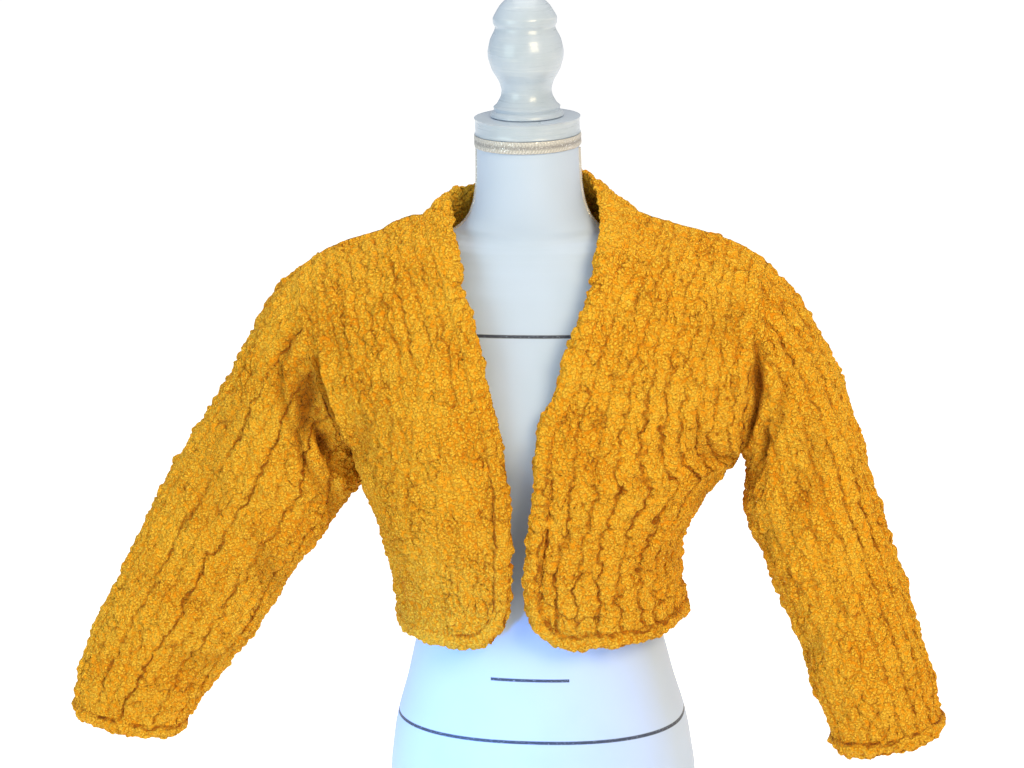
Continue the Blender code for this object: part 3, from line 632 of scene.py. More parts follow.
class Shell:
    """Vertices and faces of one closed piece, with the marks of its knitting at each vertex."""

    def __init__(self) -> None:
        """Starts empty."""
        self.vertices: list[Array] = []
        self.marks: list[Array] = []
        self.faces: list[tuple] = []
        self.count = 0

    def add(
        self, grid: Array, marks: Array | None = None, dip: Array | float = 0.0, fold: Array | float = 0.0
    ) -> Array:
        """Adds points and returns their numbers in the same layout.

        Args:
            grid: The points.
            marks: Seven marks for each point, as Knit.relief gives them.
            dip: How much of a seam's or braid's hollow each point is in.
            fold: How deep in a fold each point is, from 0 to 1.

        Returns:
            The points' numbers.
        """
        flat = grid.reshape(-1, 3)
        values = np.zeros((len(flat), 9))
        if marks is not None:
            values[:, :7] = marks.reshape(-1, 7)
        for column, value in ((7, dip), (8, fold)):
            values[:, column] = np.broadcast_to(np.asarray(value, float), grid.shape[:-1]).reshape(-1)
        self.vertices.append(flat)
        self.marks.append(values)
        numbers = np.arange(self.count, self.count + len(flat)).reshape(grid.shape[:-1])
        self.count += len(flat)
        return numbers

    def skin(self, numbers: Array, around: bool = False) -> None:
        """Covers a grid of vertex numbers with quads.

        Args:
            numbers: The vertex numbers, row by row.
            around: Whether the last column joins the first.
        """
        if around:
            numbers = np.concatenate([numbers, numbers[:, :1]], axis=1)
        quads = np.stack([numbers[:-1, :-1], numbers[:-1, 1:], numbers[1:, 1:], numbers[1:, :-1]], axis=-1)
        self.faces += [tuple(face) for face in quads.reshape(-1, 4).tolist()]

    def cap(self, numbers: Array) -> None:
        """Closes a tube's two ends with a flat face each."""
        self.faces += [tuple(numbers[0].tolist()), tuple(numbers[-1].tolist())]

    def zip_loops(self, a: Array, b: Array, at_a: Array, at_b: Array, whole: float) -> None:
        """Joins two closed loops with triangles.

        Args:
            a: Vertex numbers of the first loop.
            b: Vertex numbers of the second.
            at_a: Rising places of the first loop's points along a turn.
            at_b: Rising places of the second's.
            whole: Length of the turn.
        """
        i = j = 0
        last_a, last_b = len(a), len(b)
        place_a, place_b = [*at_a, whole + at_a[0]], [*at_b, whole + at_b[0]]
        while i < last_a or j < last_b:
            if j == last_b or (i < last_a and place_a[i + 1] <= place_b[j + 1]):
                self.faces.append((int(a[i]), int(a[(i + 1) % last_a]), int(b[j % last_b])))
                i += 1
            else:
                self.faces.append((int(a[i % last_a]), int(b[(j + 1) % last_b]), int(b[j])))
                j += 1

    def piece(self, name: str, finish: "Dressing", sharp: float = 180.0) -> bpy.types.Object:
        """Makes the piece, its faces pointing out, and sets it on its body.

        Args:
            name: The piece's name.
            finish: What dresses it.
            sharp: Edges that turn by more than this angle in degrees stay sharp.

        Returns:
            The Blender object.
        """
        mesh = bpy.data.meshes.new(name)
        mesh.from_pydata((np.concatenate(self.vertices) * MM).tolist(), [], self.faces)
        marks = np.concatenate(self.marks).astype(np.float32)
        for mark, (first, last) in MARKS.items():
            layer = mesh.attributes.new(mark, "FLOAT_VECTOR", "POINT")
            layer.data.foreach_set("vector", marks[:, first:last].ravel())
        shape = bmesh.new()
        shape.from_mesh(mesh)
        bmesh.ops.recalc_face_normals(shape, faces=shape.faces)
        if shape.calc_volume(signed=True) < 0:
            bmesh.ops.reverse_faces(shape, faces=shape.faces)
        shape.to_mesh(mesh)
        shape.free()
        mesh.shade_smooth()
        for cap in (face for face in mesh.polygons if len(face.vertices) > 4):
            cap.use_smooth = False
        if sharp < 180:
            mesh.set_sharp_from_angle(angle=math.radians(sharp))
        thing = in_scene(name, mesh)
        mesh.materials.append(finish.material)
        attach(thing, BODY)
        log.info("%s: %d faces", name, len(mesh.polygons))
        return thing


class Channel:
    """One output socket, used in sums as a number, a colour or a vector."""

    def __init__(self, graph: "Graph", socket: bpy.types.NodeSocket) -> None:
        """Holds a socket and the graph that it is in."""
        self.graph = graph
        self.socket = socket

    def __add__(self, other: "Channel | float") -> "Channel":
        """Sum."""
        return self.graph.math("ADD", self, other)

    def __radd__(self, other: float) -> "Channel":
        """Sum, reflected."""
        return self.graph.math("ADD", other, self)

    def __sub__(self, other: "Channel | float") -> "Channel":
        """Difference."""
        return self.graph.math("SUBTRACT", self, other)

    def __rsub__(self, other: float) -> "Channel":
        """Difference, reflected."""
        return self.graph.math("SUBTRACT", other, self)

    def __mul__(self, other: "Channel | float") -> "Channel":
        """Product."""
        return self.graph.math("MULTIPLY", self, other)

    def __rmul__(self, other: float) -> "Channel":
        """Product, reflected."""
        return self.graph.math("MULTIPLY", other, self)

    def __truediv__(self, other: "Channel | float") -> "Channel":
        """Quotient."""
        return self.graph.math("DIVIDE", self, other)

    def __pow__(self, other: float) -> "Channel":
        """Power."""
        return self.graph.math("POWER", self, other)

    def __lt__(self, other: "Channel | float") -> "Channel":
        """1 where less."""
        return self.graph.math("LESS_THAN", self, other)

    def __gt__(self, other: "Channel | float") -> "Channel":
        """1 where greater."""
        return self.graph.math("GREATER_THAN", self, other)

    def __abs__(self) -> "Channel":
        """Absolute value."""
        return self.graph.math("ABSOLUTE", self)


Colour = tuple[float, float, float]


class Graph:
    """The nodes of one material."""

    def __init__(self, name: str) -> None:
        """Starts a material with only its shader and output.

        Args:
            name: The material's name.
        """
        self.material = bpy.data.materials.new(name)
        self.material.use_nodes = True
        self.tree = self.material.node_tree
        self.shader = self.tree.nodes["Principled BSDF"]

    def node(self, kind: str, settings: dict | None = None, inputs: dict | None = None) -> bpy.types.Node:
        """Adds a node.

        Args:
            kind: The node's type.
            settings: Its own properties, set before its sockets.
            inputs: Values or channels for its input sockets, by name or number.

        Returns:
            The node.
        """
        made = self.tree.nodes.new(kind)
        for key, value in (settings or {}).items():
            setattr(made, key, value)
        for key, value in (inputs or {}).items():
            self.feed(made.inputs[key], value)
        return made

    def feed(self, socket: bpy.types.NodeSocket, value: "Channel | float | tuple") -> None:
        """Links a channel to a socket, or sets its value.

        Args:
            socket: The input socket.
            value: A channel, a number or a colour.
        """
        if isinstance(value, Channel):
            self.tree.links.new(value.socket, socket)
        elif isinstance(value, tuple) and len(value) == 3 and len(socket.default_value) == 4:
            socket.default_value = (*value, 1.0)
        else:
            socket.default_value = value

    def take(self, node: bpy.types.Node, output: str | int = 0) -> Channel:
        """One of a node's outputs as a channel."""
        return Channel(self, node.outputs[output])

    def math(self, operation: str, *terms: "Channel | float") -> Channel:
        """A Math node's result."""
        return self.take(self.node("ShaderNodeMath", {"operation": operation}, dict(enumerate(terms))))

    def clamped(self, value: Channel) -> Channel:
        """A value held between 0 and 1."""
        settings = {"operation": "ADD", "use_clamp": True}
        return self.take(self.node("ShaderNodeMath", settings, {0: value, 1: 0.0}))

    def step(self, value: Channel, low: float, high: float) -> Channel:
        """A soft step from 0 at low to 1 at high."""
        inputs = {"Value": value, "From Min": low, "From Max": high}
        return self.take(self.node("ShaderNodeMapRange", {"interpolation_type": "SMOOTHSTEP"}, inputs))

    def mix(self, a: "Channel | Colour", b: "Channel | Colour", factor: Channel) -> Channel:
        """A colour between two others."""
        made = self.node("ShaderNodeMix", {"data_type": "RGBA"}, {0: factor, 6: a, 7: b})
        return self.take(made, 2)

    def noise(
        self, scale: float, detail: float = 2.0, rough: float = 0.5, at: Channel | None = None
    ) -> Channel:
        """Noise over the object's own coordinates in metres.

        Args:
            scale: Lumps in a metre.
            detail: Number of finer layers.
            rough: Strength of the finer layers.
            at: Coordinates other than the object's own.

        Returns:
            Values around 0.5.
        """
        inputs = {"Vector": at or self.place(), "Scale": scale, "Detail": detail, "Roughness": rough}
        return self.take(self.node("ShaderNodeTexNoise", inputs=inputs), 0)

    def place(self) -> Channel:
        """The object's own coordinates."""
        return self.take(self.node("ShaderNodeTexCoord"), "Object")

    def axes(self) -> tuple[Channel, Channel, Channel]:
        """The object's own coordinates, one by one."""
        made = self.node("ShaderNodeSeparateXYZ", inputs={0: self.place()})
        return self.take(made, 0), self.take(made, 1), self.take(made, 2)

    def set(self, **values: "float | Colour") -> None:
        """Sets constants on the shader's sockets, each named with _ for a space."""
        for name, value in values.items():
            self.feed(self.shader.inputs[name.replace("_", " ")], value)

    def mark(self, name: str) -> tuple[Channel, Channel, Channel]:
        """The three values of one of the marks at a piece's vertices.

        Args:
            name: The mark's name, a key of MARKS.

        Returns:
            The values, one channel each.
        """
        vector = self.take(self.node("ShaderNodeAttribute", {"attribute_name": name}), "Vector")
        parts = self.node("ShaderNodeSeparateXYZ", inputs={0: vector})
        return self.take(parts, 0), self.take(parts, 1), self.take(parts, 2)

    def bump(self, height: Channel, strength: float, distance: float) -> None:
        """Raises the shader's surface by a height in a distance in metres."""
        inputs = {"Height": height, "Strength": strength, "Distance": distance}
        self.feed(self.shader.inputs["Normal"], self.take(self.node("ShaderNodeBump", inputs=inputs)))


@dataclass(frozen=True)
class Dressing:
    """A finished material and the record's slot that it is for."""

    slot: Finish
    material: bpy.types.Material


@dataclass(frozen=True)
class Chenille:
    """Thick golden-yellow chenille: short dense pile in granules; painted light and shade make the granules'
    tops lighter, the hollows between them, its folds and seams darker, and its grooves deeper and redder.
    """

    name: str
    # tips and hollow: painted highlight on the granules' tops and painted shade in the hollows between them
    tips: Colour = (1.0, 0.58, 0.05)
    pile: Colour = (1.0, 0.465, 0.014)
    hollow: Colour = (0.70, 0.225, 0.003)
    shade: Colour = (0.38, 0.13, 0.003)
    # crack: painted shade in the grooves between columns, puffs and clumps
    crack: Colour = (0.46, 0.135, 0.003)
    # depth: painted shadow in the hollows along seams
    depth: Colour = (0.17, 0.036, 0.001)
    sheen: Colour = (1.0, 0.72, 0.3)
    roughness: float = 0.95
    granule: float = 290.0
    shake: float = 0.0022

    def dress(self) -> Dressing:
        """Makes the material.

        Returns:
            The material with its slot.
        """
        g = Graph(self.name)
        fuzz = g.noise(620, 3, 0.65)
        tuft = g.noise(170, 2, 0.6)
        cloud = g.noise(16, 2)
        wobble = g.noise(190, 2, 0.7) - 0.5
        broken = g.step(g.noise(85, 2), 0.30, 0.62)
        lines = []
        for name, wide, span in (("column", 22.0, 1.0), ("puff", 19.0, 0.8)):
            sine, cosine, depth = g.mark(name)
            phase = abs(g.math("ARCTAN2", sine + wobble * 2.0, cosine)) * (wide / FULL_TURN)
            lines.append(depth * (1 - g.step(phase, 0.2 * span, 3.3 * span)) * (0.4 + broken * 0.6))
        clump, dip, fold = g.mark("clump")
        cell = (1 - g.step(clump + wobble * 0.2, -0.02, 0.12)) * 0.78 * g.step(g.noise(110, 2), 0.36, 0.56)
        groove = g.math("MAXIMUM", g.math("MAXIMUM", lines[0], lines[1]), g.math("MAXIMUM", cell, dip))
        drift = g.node("ShaderNodeTexNoise", inputs={"Vector": g.place(), "Scale": 320.0, "Detail": 1.0})
        terms = {0: g.take(drift, 1), 1: (self.shake,) * 3, 2: g.place()}
        shaken = g.take(g.node("ShaderNodeVectorMath", {"operation": "MULTIPLY_ADD"}, terms))
        cells = {"Vector": shaken, "Scale": self.granule}
        grain = g.take(g.node("ShaderNodeTexVoronoi", {"feature": "F1"}, cells))
        # Painted highlight and shade: the granules' tops take the lighter tips colour and the hollows
        # between them the darker hollow colour, with random tone mixed in.
        valley = g.step(grain, 0.2, 0.8)
        uneven = (fuzz - 0.5) * 1.1 + (tuft - 0.5) * 0.7 + (cloud - 0.5) * 0.8
        light = g.clamped(0.80 - valley * 0.62 + uneven)
        colour = g.mix(self.hollow, g.mix(self.pile, self.tips, light), g.clamped(light * 1.5 + 0.17))
        colour = g.mix(colour, self.shade, fold)
        # Painted shade: the grooves between columns, puffs and clumps are drawn in the darker, redder crack
        # colour.
        deep = g.clamped(groove * 1.25 - (fuzz - 0.5) * 0.8 * groove - 0.08)
        cracked = g.mix(colour, self.crack, deep)
        # Painted shadow: the deepest parts of a seam's hollow are drawn in the near-black depth colour.
        g.feed(g.shader.inputs["Base Color"], g.mix(cracked, self.depth, g.step(dip, 0.45, 1.0)))
        g.set(Roughness=self.roughness, Specular_IOR_Level=0.12)
        g.set(Sheen_Weight=0.06, Sheen_Roughness=0.6, Sheen_Tint=self.sheen)
        g.bump((1 - valley) * 1.1 + fuzz * 0.5 + tuft * 0.6 - groove * 1.1, 1.0, 0.0026)
        return Dressing(Finish.CHENILLE, g.material)


@dataclass(frozen=True)
class Jersey:
    """The form's smooth white stretch cover, with its printed black measure lines."""

    name: str
    cloth: Colour = (0.49, 0.62, 0.85)
    worn: Colour = (0.45, 0.58, 0.79)
    # threads: painted sheen on the weave's bands
    threads: Colour = (0.60, 0.66, 0.76)
    ink: Colour = (0.035, 0.045, 0.075)
    line_width: float = 0.0036
    bust: tuple[float, float, float] = (0.594, -0.07, 0.07)
    waist: tuple[float, float, float] = (0.188, -0.045, 0.046)
    hip: float = 0.115

    def line(self, g: Graph, height: float, left: float, right: float) -> Channel:
        """One measure line across the front.

        Args:
            g: The material's nodes.
            height: Its height in metres.
            left: Its lower end along X.
            right: Its upper end along X.

        Returns:
            1 on the line.
        """
        x, y, z = g.axes()
        within = (x > left) * (x < right) * (y < 0.02)
        return (1 - g.step(abs(z - height), self.line_width * 0.35, self.line_width * 0.65)) * within

    def dress(self) -> Dressing:
        """Makes the material.

        Returns:
            The material with its slot.
        """
        g = Graph(self.name)
        height = g.axes()[2]
        hip = 1 - g.step(abs(height - self.hip), self.line_width * 0.4, self.line_width * 0.7)
        ink = g.clamped(self.line(g, *self.bust) + self.line(g, *self.waist) + hip)
        ink = ink * g.step(g.noise(900, 2), 0.22, 0.42)
        bands = {"wave_type": "BANDS", "bands_direction": "X"}
        waves = {"Vector": g.place(), "Scale": 420.0, "Distortion": 1.5, "Detail": 1.0}
        weave = g.take(g.node("ShaderNodeTexWave", bands, waves), 1)
        cloth = g.mix(self.cloth, self.worn, g.step(g.noise(9, 2), 0.35, 0.75))
        # The weave's bands are its real pattern; the lighter threads colour on them is painted sheen.
        colour = g.mix(cloth, self.threads, (weave - 0.5) * 0.25 + 0.2)
        g.feed(g.shader.inputs["Base Color"], g.mix(colour, self.ink, ink))
        g.set(Roughness=0.62, Sheen_Weight=0.12)
        g.bump(weave * 0.5 + g.noise(700, 2) * 0.5, 0.12, 0.0006)
        return Dressing(Finish.JERSEY, g.material)


@dataclass(frozen=True)
class Braid:
    """White braid and piping with a few silvery threads."""

    name: str
    thread: Colour = (0.62, 0.62, 0.61)
    shade: Colour = (0.30, 0.30, 0.31)
    silver: Colour = (0.9, 0.9, 0.92)

    def dress(self) -> Dressing:
        """Makes the material.

        Returns:
            The material with its slot.
        """
        g = Graph(self.name)
        groove = g.mark("clump")[1]
        strand = g.noise(1300, 2)
        glint = g.step(g.noise(850, 1), 0.60, 0.66)
        colour = g.mix(self.thread, self.shade, g.clamped(groove * 0.9 + (strand - 0.5) * 0.5))
        g.feed(g.shader.inputs["Base Color"], g.mix(colour, self.silver, glint))
        g.feed(g.shader.inputs["Metallic"], glint * 0.9)
        g.feed(g.shader.inputs["Roughness"], 0.6 - glint * 0.35)
        g.bump(strand, 0.35, 0.0006)
        return Dressing(Finish.BRAID, g.material)


@dataclass(frozen=True)
class Paint:
    """Turned wood painted satin white."""

    name: str
    coat: Colour = (0.47, 0.56, 0.69)
    clouded: Colour = (0.42, 0.51, 0.63)
    brushed: Colour = (0.55, 0.63, 0.74)

    def dress(self) -> Dressing:
        """Makes the material.

        Returns:
            The material with its slot.
        """
        g = Graph(self.name)
        x, y, z = g.axes()
        around = g.take(g.node("ShaderNodeCombineXYZ", inputs={0: x * 0.4, 1: y * 0.4, 2: z * 6.0}))
        brush = g.noise(55, 3, 0.6, around)
        colour = g.mix(self.coat, self.clouded, g.step(g.noise(30, 2), 0.4, 0.8))
        g.feed(g.shader.inputs["Base Color"], g.mix(colour, self.brushed, g.step(brush, 0.5, 0.8)))
        g.feed(g.shader.inputs["Roughness"], 0.3 + (brush - 0.5) * 0.2)
        g.set(Coat_Weight=0.25)
        g.bump(brush, 0.1, 0.0008)
        return Dressing(Finish.PAINT, g.material)


@dataclass
class Cut:
    """A knitted face laid out: its points, outward directions and shares, how it is knit and folded."""

    face: Array
    normal: Array
    u: Array
    v: Array
    across: Array
    along: Array
    knit: Knit
    sunk: Array
    clear: Array | float = 1.0


class Pattern:
    """The garment's surfaces, on which every piece lies."""

    @staticmethod
    def armhole_ends(side: Side) -> tuple[Array, Array]:
        """The armhole's highest and lowest point, at the sleeve head and the underarm."""
        ring = SLEEVES[side]
        return tuple(points(ring[end + "_x"][0], 0, ring[end + "_z"][0]) for end in ("outer", "inner"))

    @classmethod
    def armhole(cls, side: Side, phi: Array, facing: float) -> Array:
        """A point of the armhole, a flat oval: phi is 0 at the sleeve head and pi at the underarm.

        Args:
            side: The wearer's side.
            phi: Angles round the armhole.
            facing: -1 on the front, 1 on the back.

        Returns:
            The points.
        """
        top, under = cls.armhole_ends(side)
        along = np.cos(phi)[..., None] * (top - under) / 2
        return (top + under) / 2 + along + points(0, facing * SLEEVES[side]["depth"][0] * np.sin(phi), 0)

    @classmethod
    def armhole_normal(cls, side: Side, phi: Array, facing: float) -> Array:
        """Outward direction in the armhole's own plane.

        Args:
            side: The wearer's side.
            phi: Angles round the armhole.
            facing: -1 on the front, 1 on the back.

        Returns:
            The directions.
        """
        top, under = cls.armhole_ends(side)
        tall, deep = np.linalg.norm(top - under) / 2, SLEEVES[side]["depth"][0]
        lean = np.cos(phi)[..., None] * unit(top - under) * deep
        return unit(lean + points(0, facing * np.sin(phi) * tall, 0))

    @classmethod
    def armhole_axis(cls, side: Side) -> Array:
        """Direction square to the armhole's plane, away from the body.

        Args:
            side: The wearer's side.

        Returns:
            The direction.
        """
        top, under = cls.armhole_ends(side)
        up = unit(top - under)
        return side.sign * points(up[2], 0, -up[0])

    @staticmethod
    def armhole_angle(t: Array) -> Array:
        """The armhole angle that belongs to height share t."""
        return math.pi * (1 - np.clip((t - UNDERARM) / (1 - UNDERARM), 0, 1))

    @classmethod
    def side_line(cls, side: Side, t: Array, facing: float) -> Array:
        """Outer end of a panel's row: the side seam, then the armhole.

        Args:
            side: The wearer's side.
            t: Height shares.
            facing: -1 on the front, 1 on the back.

        Returns:
            The points.
        """
        x, z = (smooth(SIDE_SEAM, "t", f"{side.value}_{axis}", t) for axis in "xz")
        above = cls.armhole(side, cls.armhole_angle(t), facing)
        return np.where((t < UNDERARM)[..., None], points(x, 0, z), above)

    @staticmethod
    def shoulder_line(side: Side, share: Array) -> Array:
        """The shoulder seam from neck point (share 0) to sleeve head (share 1).

        Args:
            side: The wearer's side.
            share: Places along the seam.

        Returns:
            The points.
        """
        x = SHOULDER["x"]
        run = np.linspace(x[0], x[-1], 60)
        rise = smooth(SHOULDER, "x", side.value + "_z", run)
        far = np.concatenate([[0], np.cumsum(np.hypot(np.diff(run), np.diff(rise)))])
        at = np.interp(share, far / far[-1], run)
        return points(side.sign * at, 0, smooth(SHOULDER, "x", side.value + "_z", at))

    @staticmethod
    def half_row(
        start: Array, end: Array, side: Side, facing: float,
        tab: Table, t: Array, share: Array, lead_turn: Array,
    ) -> Array:
        """A cross-section from a panel's middle edge to its side.

        Args:
            start: Its first point.
            end: Its last point.
            side: The side that it runs to.
            facing: -1 on a front, 1 on the back.
            tab: The panel's table.
            t: Height shares.
            share: Places along the row.
            lead_turn: Direction at the middle edge in degrees.

        Returns:
            The row's points.
        """
        lead, tail = smooth(tab, "t", "lead", t), smooth(tab, "t", "tail", t)
        turn_in = np.radians(lead_turn)
        turn_out = np.radians(smooth(tab, "t", "tail_turn", t))
        span = np.linalg.norm(end - start, axis=-1)
        rise = (end - start)[..., 2]
        lead_x, lead_y = lead * span * np.cos(turn_in), lead * span * np.sin(turn_in)
        tail_x, tail_y = tail * span * np.sin(turn_out), tail * span * np.cos(turn_out)
        first = start + points(side.sign * lead_x, -facing * lead_y, END_RISE * rise)
        second = end + points(-side.sign * tail_x, facing * tail_y, -END_RISE * rise)
        even = EVEN_SPACING * (1.5 * (lead + tail) - 1)
        s = (share - even * np.sin(2 * math.pi * share) / (2 * math.pi))[..., None]
        near, far = start * (1 - s) ** 3 + 3 * first * s * (1 - s) ** 2, 3 * second * s * s * (1 - s)
        return near + far + end * s**3

    @staticmethod
    def shoulder_blend(t: Array) -> Array:
        """How much of the shoulder seam's own shape a row takes."""
        return (np.clip((t - SHOULDER_START) / (1 - SHOULDER_START), 0, 1) ** 2)[..., None]

    @classmethod
    def front(cls, side: Side, u: Array, t: Array) -> Array:
        """Outer face of a front: u from front edge to side, t from hem to shoulder.

        Args:
            side: The wearer's side.
            u: Shares across.
            t: Height shares.

        Returns:
            The points.
        """

        def row(at: Array) -> Array:
            """The row at height share at.

            Args:
                at: Height shares.

            Returns:
                The rows' points.
            """
            names = (side.value + "_x", "y", "z")
            start = points(*(smooth(FRONT, "t", column, at) for column in names))
            end = cls.side_line(side, at, -1.0)
            turn = smooth(FRONT, "t", "lead_turn", at)
            return cls.half_row(start, end, side, -1.0, FRONT, at, u, turn)

        return row(t) + cls.shoulder_blend(t) * (cls.shoulder_line(side, u) - row(np.ones_like(t)))

    @classmethod
    def back(cls, u: Array, t: Array) -> Array:
        """Outer face of the back: u from right side to left side, t from hem to shoulder and neck.

        Args:
            u: Shares across.
            t: Height shares.

        Returns:
            The points.
        """
        share = np.abs(2 * u - 1)

        def row(at: Array) -> Array:
            """The row at height share at.

            Args:
                at: Height shares.

            Returns:
                The rows' points.
            """
            start = points(0, smooth(BACK, "t", "y", at), smooth(BACK, "t", "z", at))
            flat = np.zeros_like(at)
            halves = [
                cls.half_row(start, cls.side_line(side, at, 1.0), side, 1.0, BACK, at, share, flat)
                for side in Side
            ]
            return np.where((u < 0.5)[..., None], *halves)

        return row(t) + cls.shoulder_blend(t) * (cls.back_top(u) - row(np.ones_like(t)))

    @classmethod
    def back_top(cls, u: Array) -> Array:
        """Top edge of the back: right shoulder, back neck, left shoulder.

        Args:
            u: Shares across.

        Returns:
            The points.
        """
        share = np.minimum(u, 1 - u)
        right = u < 0.5
        along = np.clip(1 - share / NECK_SHARE, 0, 1)
        seam = np.where(right[..., None], *(cls.shoulder_line(side, along) for side in Side))
        angle = np.clip((share - NECK_SHARE) / (0.5 - NECK_SHARE), 0, 1) * math.pi / 2
        neck_x = SHOULDER["x"][0]
        neck_z = np.where(right, SHOULDER["right_z"][0], SHOULDER["left_z"][0])
        back_y, sink = BACK["y"][-1], BACK["z"][-1] - neck_z
        x = np.where(right, -neck_x, neck_x) * np.cos(angle)
        neck = points(x, back_y * np.sin(angle), neck_z + sink * np.sin(angle))
        return np.where((share < NECK_SHARE)[..., None], seam, neck)

    @staticmethod
    def sleeve(side: Side, phi: Array, v: Array) -> Array:
        """Outer face of a sleeve: phi round it from the sleeve head by way of the front, v along it.

        Args:
            side: The wearer's side.
            phi: Angles round the sleeve.
            v: Shares along it.

        Returns:
            The points.
        """
        ring = SLEEVES[side]
        outer = points(smooth(ring, "v", "outer_x", v), 0, smooth(ring, "v", "outer_z", v))
        inner = points(smooth(ring, "v", "inner_x", v), 0, smooth(ring, "v", "inner_z", v))
        depth, forward = smooth(ring, "v", "depth", v), smooth(ring, "v", "forward", v)
        across = np.cos(phi)[..., None] * (outer - inner) / 2
        return (outer + inner) / 2 + across + points(0, -forward - depth * np.sin(phi), 0)

    @staticmethod
    def normals(surface: Callable, u: Array, t: Array, outward: float) -> Array:
        """Outward directions of a surface, from small steps along it.

        Args:
            surface: Gives points for shares across and along.
            u: Shares across.
            t: Shares along.
            outward: 1 or -1, whichever makes them point out.

        Returns:
            The directions.
        """
        across = surface(np.minimum(u + STEP, 1), t) - surface(np.maximum(u - STEP, 0), t)
        along = surface(u, np.minimum(t + STEP, 1)) - surface(u, np.maximum(t - STEP, 0))
        return outward * unit(np.cross(across, along))

    @staticmethod
    def seam_normals(side: Side, line: Array) -> Array:
        """Outward directions along a side or shoulder seam, in its plane and square to it.

        Args:
            side: The wearer's side.
            line: Points of the seam.

        Returns:
            The directions.
        """
        along = unit(np.gradient(line, axis=0))
        normal = unit(points(-along[:, 2], 0, along[:, 0]))
        return normal * np.sign(normal[:, :1] * side.sign + normal[:, 2:])

    @classmethod
    def uneven(cls, side: Side, face: Array) -> Array:
        """Points near an armhole, moved so that the seam isn't a clean line.

        Args:
            side: The wearer's side.
            face: The points.

        Returns:
            The moved points.
        """
        axis = cls.armhole_axis(side)
        off = np.abs(dot(face - cls.armhole_ends(side)[0], axis))[..., 0]
        sway = 2.6 * WANDER.at(face, 17) + 1.5 * TUFT.at(face, 8)
        return face + (sway * (1 - ramp(off, 2, 18)))[..., None] * axis

    @classmethod
    def room(cls, side: Side, face: Array, normal: Array, away: float) -> Array:
        """How far stitches can rise before they meet the armhole's plane, from its inner or outer side.

        Args:
            side: The wearer's side.
            face: The points.
            normal: Outward directions there.
            away: -1 inside the armhole's plane, on a panel, and 1 outside it, on a sleeve.

        Returns:
            Height in millimetres at each point.
        """
        axis = cls.armhole_axis(side)
        depth = away * dot(face - cls.armhole_ends(side)[0], axis)[..., 0]
        leaning = -away * dot(normal, axis)[..., 0]
        rise = np.clip(depth, 0, None) / np.clip(leaning, LEAST_LEAN, None)
        return np.where(leaning > LEAST_LEAN / 5, rise, FAR)


def knit_shell(cut: Cut, around: bool, edge: Array, room: Array, seam: Array) -> Shell:
    """Makes the closed shell of a knitted wall.

    Args:
        cut: The face laid out.
        around: Whether it is a tube.
        edge: Distance to the nearest seam or edge in millimetres.
        room: How far stitches may rise.
        seam: How deep the nearest seam is drawn in, from 0 to 1.

    Returns:
        The shell.
    """
    columns = cut.face.shape[1]
    wrap = round(float(cut.across.max() + cut.across[0, 1])) if around else 0
    rise, marks = cut.knit.relief(cut.across, cut.along, cut.face, wrap, cut.clear)
    level = SEAM_RISE * (1 - seam)
    rise = np.minimum(level + (rise - level) * ramp(edge, -2, 7), room)
    shell = Shell()
    raised = cut.face + rise[..., None] * cut.normal
    outer = shell.add(raised, marks, seam_hollow(seam, edge, cut.face), np.clip(cut.sunk / FOLD_DEPTH, 0, 1))
    shell.skin(outer, around)
    lining = cut.face - WALL * cut.normal
    rows = np.unique(np.append(np.arange(0, len(cut.face), INNER_STEP), len(cut.face) - 1))
    keep = np.arange(0, columns, INNER_STEP)
    if not around:
        keep = np.unique(np.append(keep, columns - 1))
    pick = np.ix_(rows, keep)
    soft = 0.5 * rise[pick] * ramp(edge[pick], 0, 12)
    soft[[0, -1]] = 0
    if not around:
        soft[:, [0, -1]] = 0
    inside = lining[pick] - np.clip(soft, 0, None)[..., None] * cut.normal[pick]
    inner = shell.add(inside, marks[pick])
    shell.skin(inner, around)
    share_rows, share_columns = np.linspace(0, 1, len(cut.face)), np.arange(columns) / columns
    if around:
        for end in (0, -1):
            shell.zip_loops(outer[end], inner[end], share_columns, share_columns[keep], 1)
        return shell
    share_columns = np.linspace(0, 1, columns)

    def loop(numbers: Array) -> Array:
        """Boundary of a grid as one loop."""
        return np.concatenate([numbers[0, :-1], numbers[:-1, -1], numbers[-1, :0:-1], numbers[:0:-1, 0]])

    def places(by_row: Array, by_column: Array) -> Array:
        """Places of the loop's points, each side of the grid being 1 long."""
        back, down = 2 + (1 - by_column[:0:-1]), 3 + (1 - by_row[:0:-1])
        return np.concatenate([by_column[:-1], 1 + by_row[:-1], back, down])

    at_outer, at_inner = places(share_rows, share_columns), places(share_rows[rows], share_columns[keep])
    shell.zip_loops(loop(outer), loop(inner), at_outer, at_inner, 4)
    return shell


def knit_panel(
    cut: Cut, name: str, finish: Dressing, sides: tuple[Side, ...], seam: Array
) -> tuple[bpy.types.Object, tuple[float, float]]:
    """Makes a flat panel.

    Args:
        cut: The panel laid out.
        name: Name of the CAD node that it stands for.
        finish: What dresses it.
        sides: The armholes that it reaches.
        seam: How deep the nearest seam is drawn in, from 0 to 1.

    Returns:
        The panel, and its mean width and length in metres.
    """
    far = run_length(np.swapaxes(cut.face, 0, 1)).T
    high = cut.along
    edge = np.minimum.reduce([far, far[:, -1:] - far, high, high[-1:] - high])
    room = np.minimum.reduce([Pattern.room(side, cut.face, cut.normal, -1.0) for side in sides])
    panel = knit_shell(cut, False, edge, room, seam).piece("knit_" + name, finish)
    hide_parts(name)
    return panel, (float(far[:, -1].mean()) * MM, float(high[-1].mean()) * MM)


